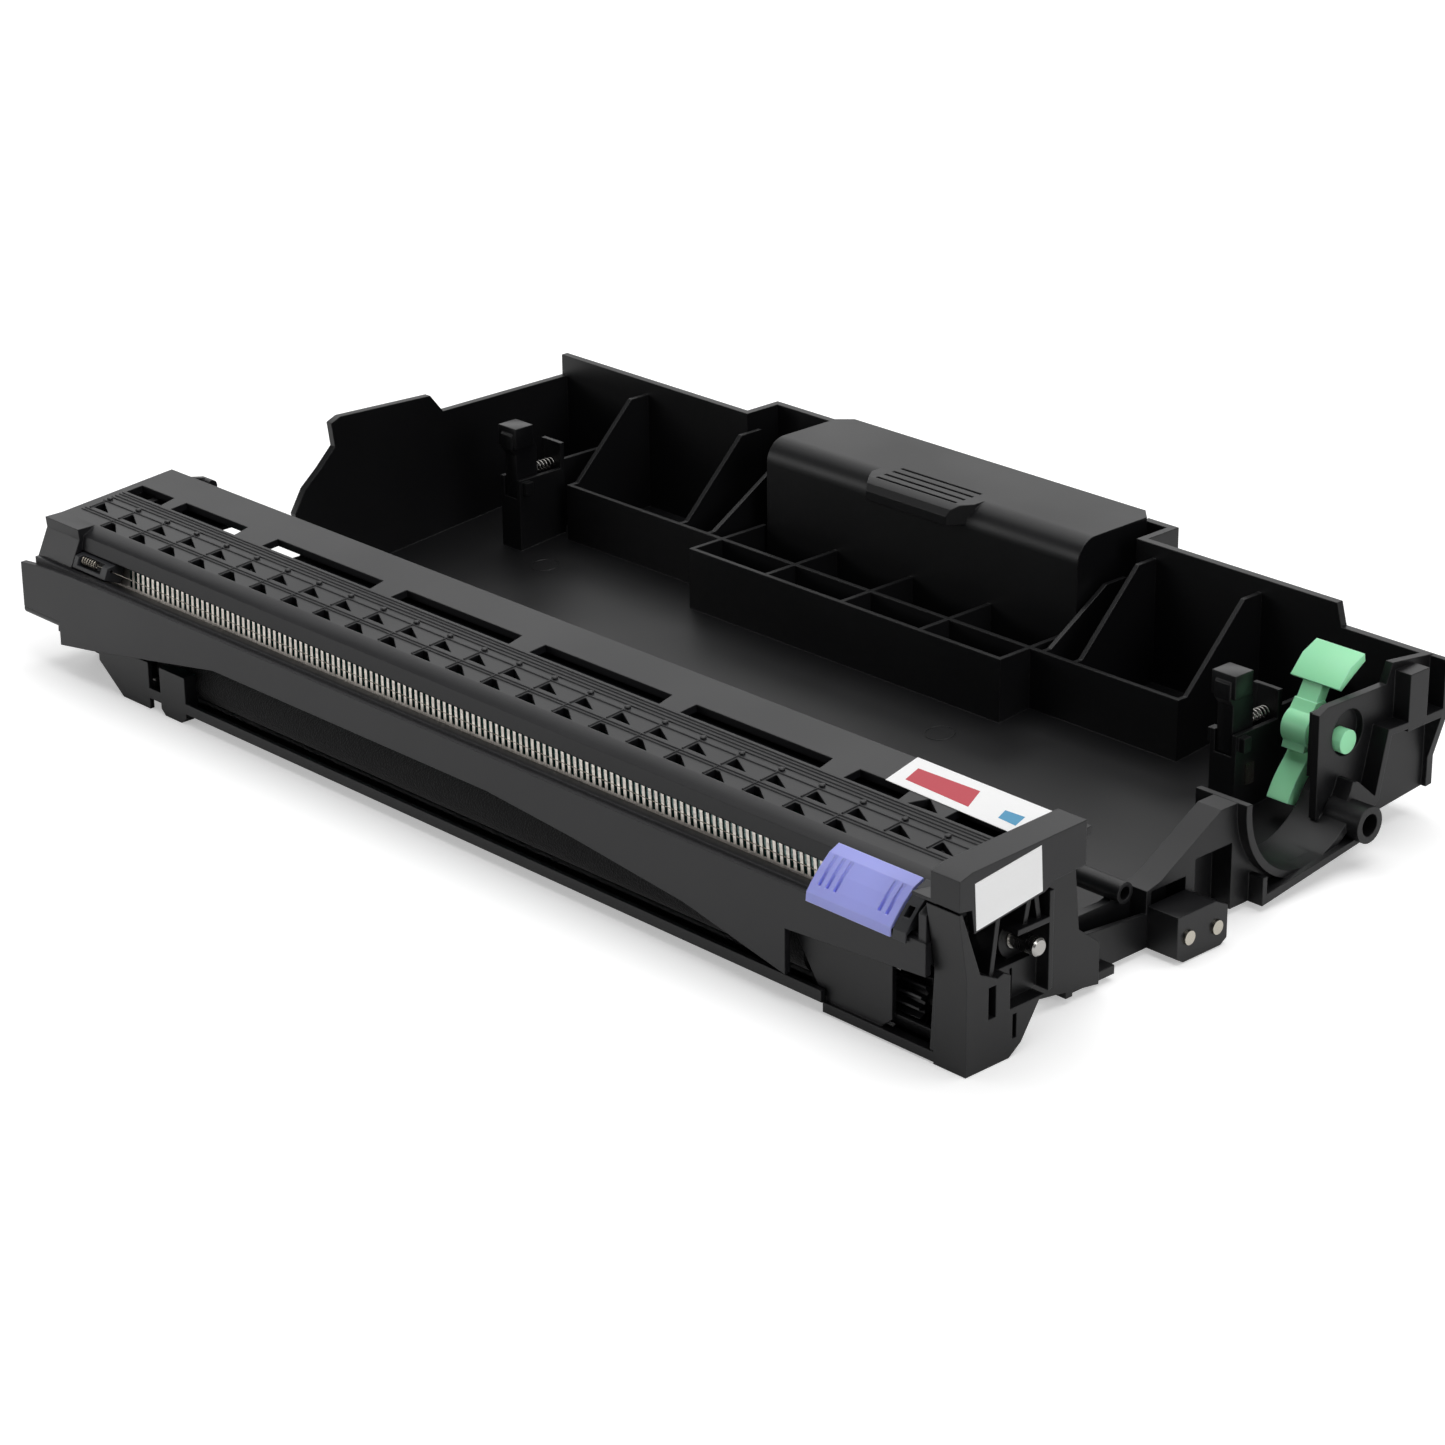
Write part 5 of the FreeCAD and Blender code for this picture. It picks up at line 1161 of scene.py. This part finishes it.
@dataclass
class ChargingUnit:
    """Grid, wire, holders and the sliding cleaner."""

    grid: DrawnMetal = DrawnMetal("etched_stainless_sheet", "#e6dfd6", roughness=0.42)
    wire: DrawnMetal = DrawnMetal("tungsten_wire", "#b9b2a6", roughness=0.25)
    holder: MouldedPlastic = MouldedPlastic("grey_insulator", "#2b2c2f", roughness=0.45)
    tab: MouldedPlastic = MouldedPlastic("lilac_polypropylene", "#a6abf5", roughness=0.38, edge_lift=0.35,
                                         translucence=0.05)
    pad: OpenFoam = OpenFoam("pressed_felt", "#c9c4b6", pore_mm=0.3)

    def build(self) -> None:
        """Dresses the charging unit's nodes."""
        dress(self.grid.material(), "charge_grid")
        dress(self.wire.material(), "corona_wire", "wire_spring")
        dress(self.holder.material(), "wire_holder_left", "wire_holder_right")
        dress(self.tab.material(), "wire_cleaner")
        dress(self.pad.material(), "cleaner_pads")


@dataclass
class DrumSection:
    """The drum with its flanges and shaft, the transfer roller and the cleaning brush."""

    coating: CoatedTube = CoatedTube("organic_photoconductor", "#1d5c56")
    gear: MouldedPlastic = MouldedPlastic("dark_acetal", "#121214", roughness=0.35)
    shaft: DrawnMetal = DrawnMetal("ground_steel", "#c8c6c2", roughness=0.22, along=(1.0, 0.05, 0.05))
    spring: DrawnMetal = DrawnMetal("spring_wire", "#a9a7a3", roughness=0.3)
    contact: DrawnMetal = DrawnMetal("plated_contact", "#dcd6c8", roughness=0.2)
    foam: OpenFoam = OpenFoam("conductive_foam", "#1c1c1d")
    fibre: OpenFoam = OpenFoam("conductive_fibre", "#121213", pore_mm=0.25)
    bearing: MouldedPlastic = MouldedPlastic("bearing_acetal", "#3a3b3e", roughness=0.4)

    def build(self) -> None:
        """Dresses the drum section's nodes."""
        dress(self.coating.material(), "photo_drum")
        dress(self.gear.material(), "drum_gear", "drum_flange_left", "transfer_gear")
        dress(self.shaft.material(), "drum_shaft", "transfer_shaft")
        dress(self.spring.material(), "shaft_clip", "transfer_spring_left", "transfer_spring_right",
              "press_spring_left", "press_spring_right", "lock_lever_spring")
        dress(self.contact.material(), "contact_pins", "side_contact", "drum_earth_plate")
        dress(self.foam.material(), "transfer_sleeve")
        dress(self.fibre.material(), "cleaning_brush")
        dress(self.bearing.material(), "transfer_bearing_left", "transfer_bearing_right")


@dataclass
class LeverForm:
    """The lever with its curved blade: a band of even thickness along a cubic curve, its edges rounded."""

    hub: Span = (137.4, 26.7)
    old_blade: Extent = ((126.8, 140.0), (123.4, 149.4), (6.7, 22.1))
    blade_x: Span = (130.9, 136.9)
    half_thickness: float = 1.7
    curve: tuple = ((0.6, -2.0), (1.4, -9.0), (-3.0, -8.0), (-6.6, -16.0))
    steps: int = 24

    def blade(self) -> list:
        """Gives the blade's outline in (y, z).

        Point t of the curve is (1-t)^3 a + 3 (1-t)^2 t b + 3 (1-t) t^2 c + t^3 d, and the two edges lie half
        the thickness to each side of it.
        """
        t = np.linspace(0, 1, self.steps)[:, None]
        a, b, c, d = (np.array(point) for point in self.curve)
        middle = (1 - t) ** 3 * a + 3 * (1 - t) ** 2 * t * b + 3 * (1 - t) * t ** 2 * c + t ** 3 * d
        along = np.gradient(middle, axis=0)
        along /= np.linalg.norm(along, axis=1, keepdims=True)
        across = np.column_stack([-along[:, 1], along[:, 0]]) * self.half_thickness
        return (np.concatenate([middle + across, (middle - across)[::-1]]) + self.hub).tolist()

    def build(self, finish: Material) -> None:
        """Makes the lever in its finish."""
        lever = Reshaped("lock_lever", rounding_mm=0.45)
        lever.cut(box(*self.old_blade))
        lever.join(across(self.blade(), self.blade_x))
        lever.build("lever_moulding", finish, Slot.LEVER, "lever")


@dataclass
class PressArms:
    """The two sprung arms, each with the broad cap that the photograph shows."""

    caps_x: tuple = (("left", (-124.4, -117.6)), ("right", (117.6, 124.4)))
    cap: tuple[Span, Span] = ((125.0, 131.0), (33.6, 39.2))

    def build(self, finish: Material) -> None:
        """Makes both arms in their finish."""
        for side, x in self.caps_x:
            arm = Reshaped(f"press_arm_{side}", rounding_mm=0.35)
            arm.join(box(x, *self.cap))
            arm.build(f"press_arm_{side}_capped", finish, Slot.FRAME, f"press_{side}")


@dataclass
class Fastening:
    """The lever, the press arms and the contact block."""

    lever: MouldedPlastic = MouldedPlastic("mint_acetal", "#a2f5bd", roughness=0.36, edge_lift=0.3,
                                           translucence=0.06)
    arm: MouldedPlastic = MouldedPlastic("black_acetal", "#0e0e10", roughness=0.32)

    def build(self) -> None:
        """Dresses the moving pieces at the back of the tray."""
        LeverForm().build(self.lever.material())
        dark = self.arm.material()
        PressArms().build(dark)
        dress(dark, "contact_block")


@dataclass
class Stickers:
    """The two white labels, with a plain red and a plain blue field that lie along the upper one."""

    paper: LabelStock = LabelStock("white_label", "#ffffff")
    red: LabelStock = LabelStock("red_print", "#c8414f")
    blue: LabelStock = LabelStock("blue_print", "#4f9fc8")
    red_corners: tuple = ((110.5, 39.2), (111.9, 33.9), (130.6, 33.0), (127.8, 39.6))
    blue_corners: tuple = ((137.6, 36.6), (138.7, 33.3), (143.8, 32.9), (142.8, 36.9))
    paper_mm: float = 0.12
    ink_mm: float = 0.03

    def plate(self, name: str, corners: tuple, material: Material) -> None:
        """Lays one field of colour on the upper label.

        Args:
            name: the piece's name.
            corners: places along X and Y of its corners, anticlockwise seen from above.
            material: its finish.
        """
        flat = np.array(corners)
        level = COVER_TOP.height(flat[:, 1]) + self.paper_mm
        rings = [np.column_stack([flat, level + lift]) for lift in (-self.ink_mm, self.ink_mm)]
        shape = BarMesh()
        shape.bar(np.stack(rings))
        shape.build(name, material, Slot.STICKER, "unit")

    def build(self) -> None:
        """Dresses the labels and lays the fields."""
        dress(self.paper.material(), "top_sticker", "end_sticker")
        self.plate("sticker_red_field", self.red_corners, self.red.material())
        self.plate("sticker_blue_field", self.blue_corners, self.blue.material())


def main() -> None:
    """Builds the looks of the drum unit."""
    logging.basicConfig(level=logging.INFO)
    bpy.context.scene.view_settings.view_transform = "Standard"
    for group in (Casings(), ChargingUnit(), DrumSection(), Fastening(), Stickers(), Studio()):
        group.build()
        log.info("%s done", type(group).__name__)


if __name__ == "__main__":
    main()
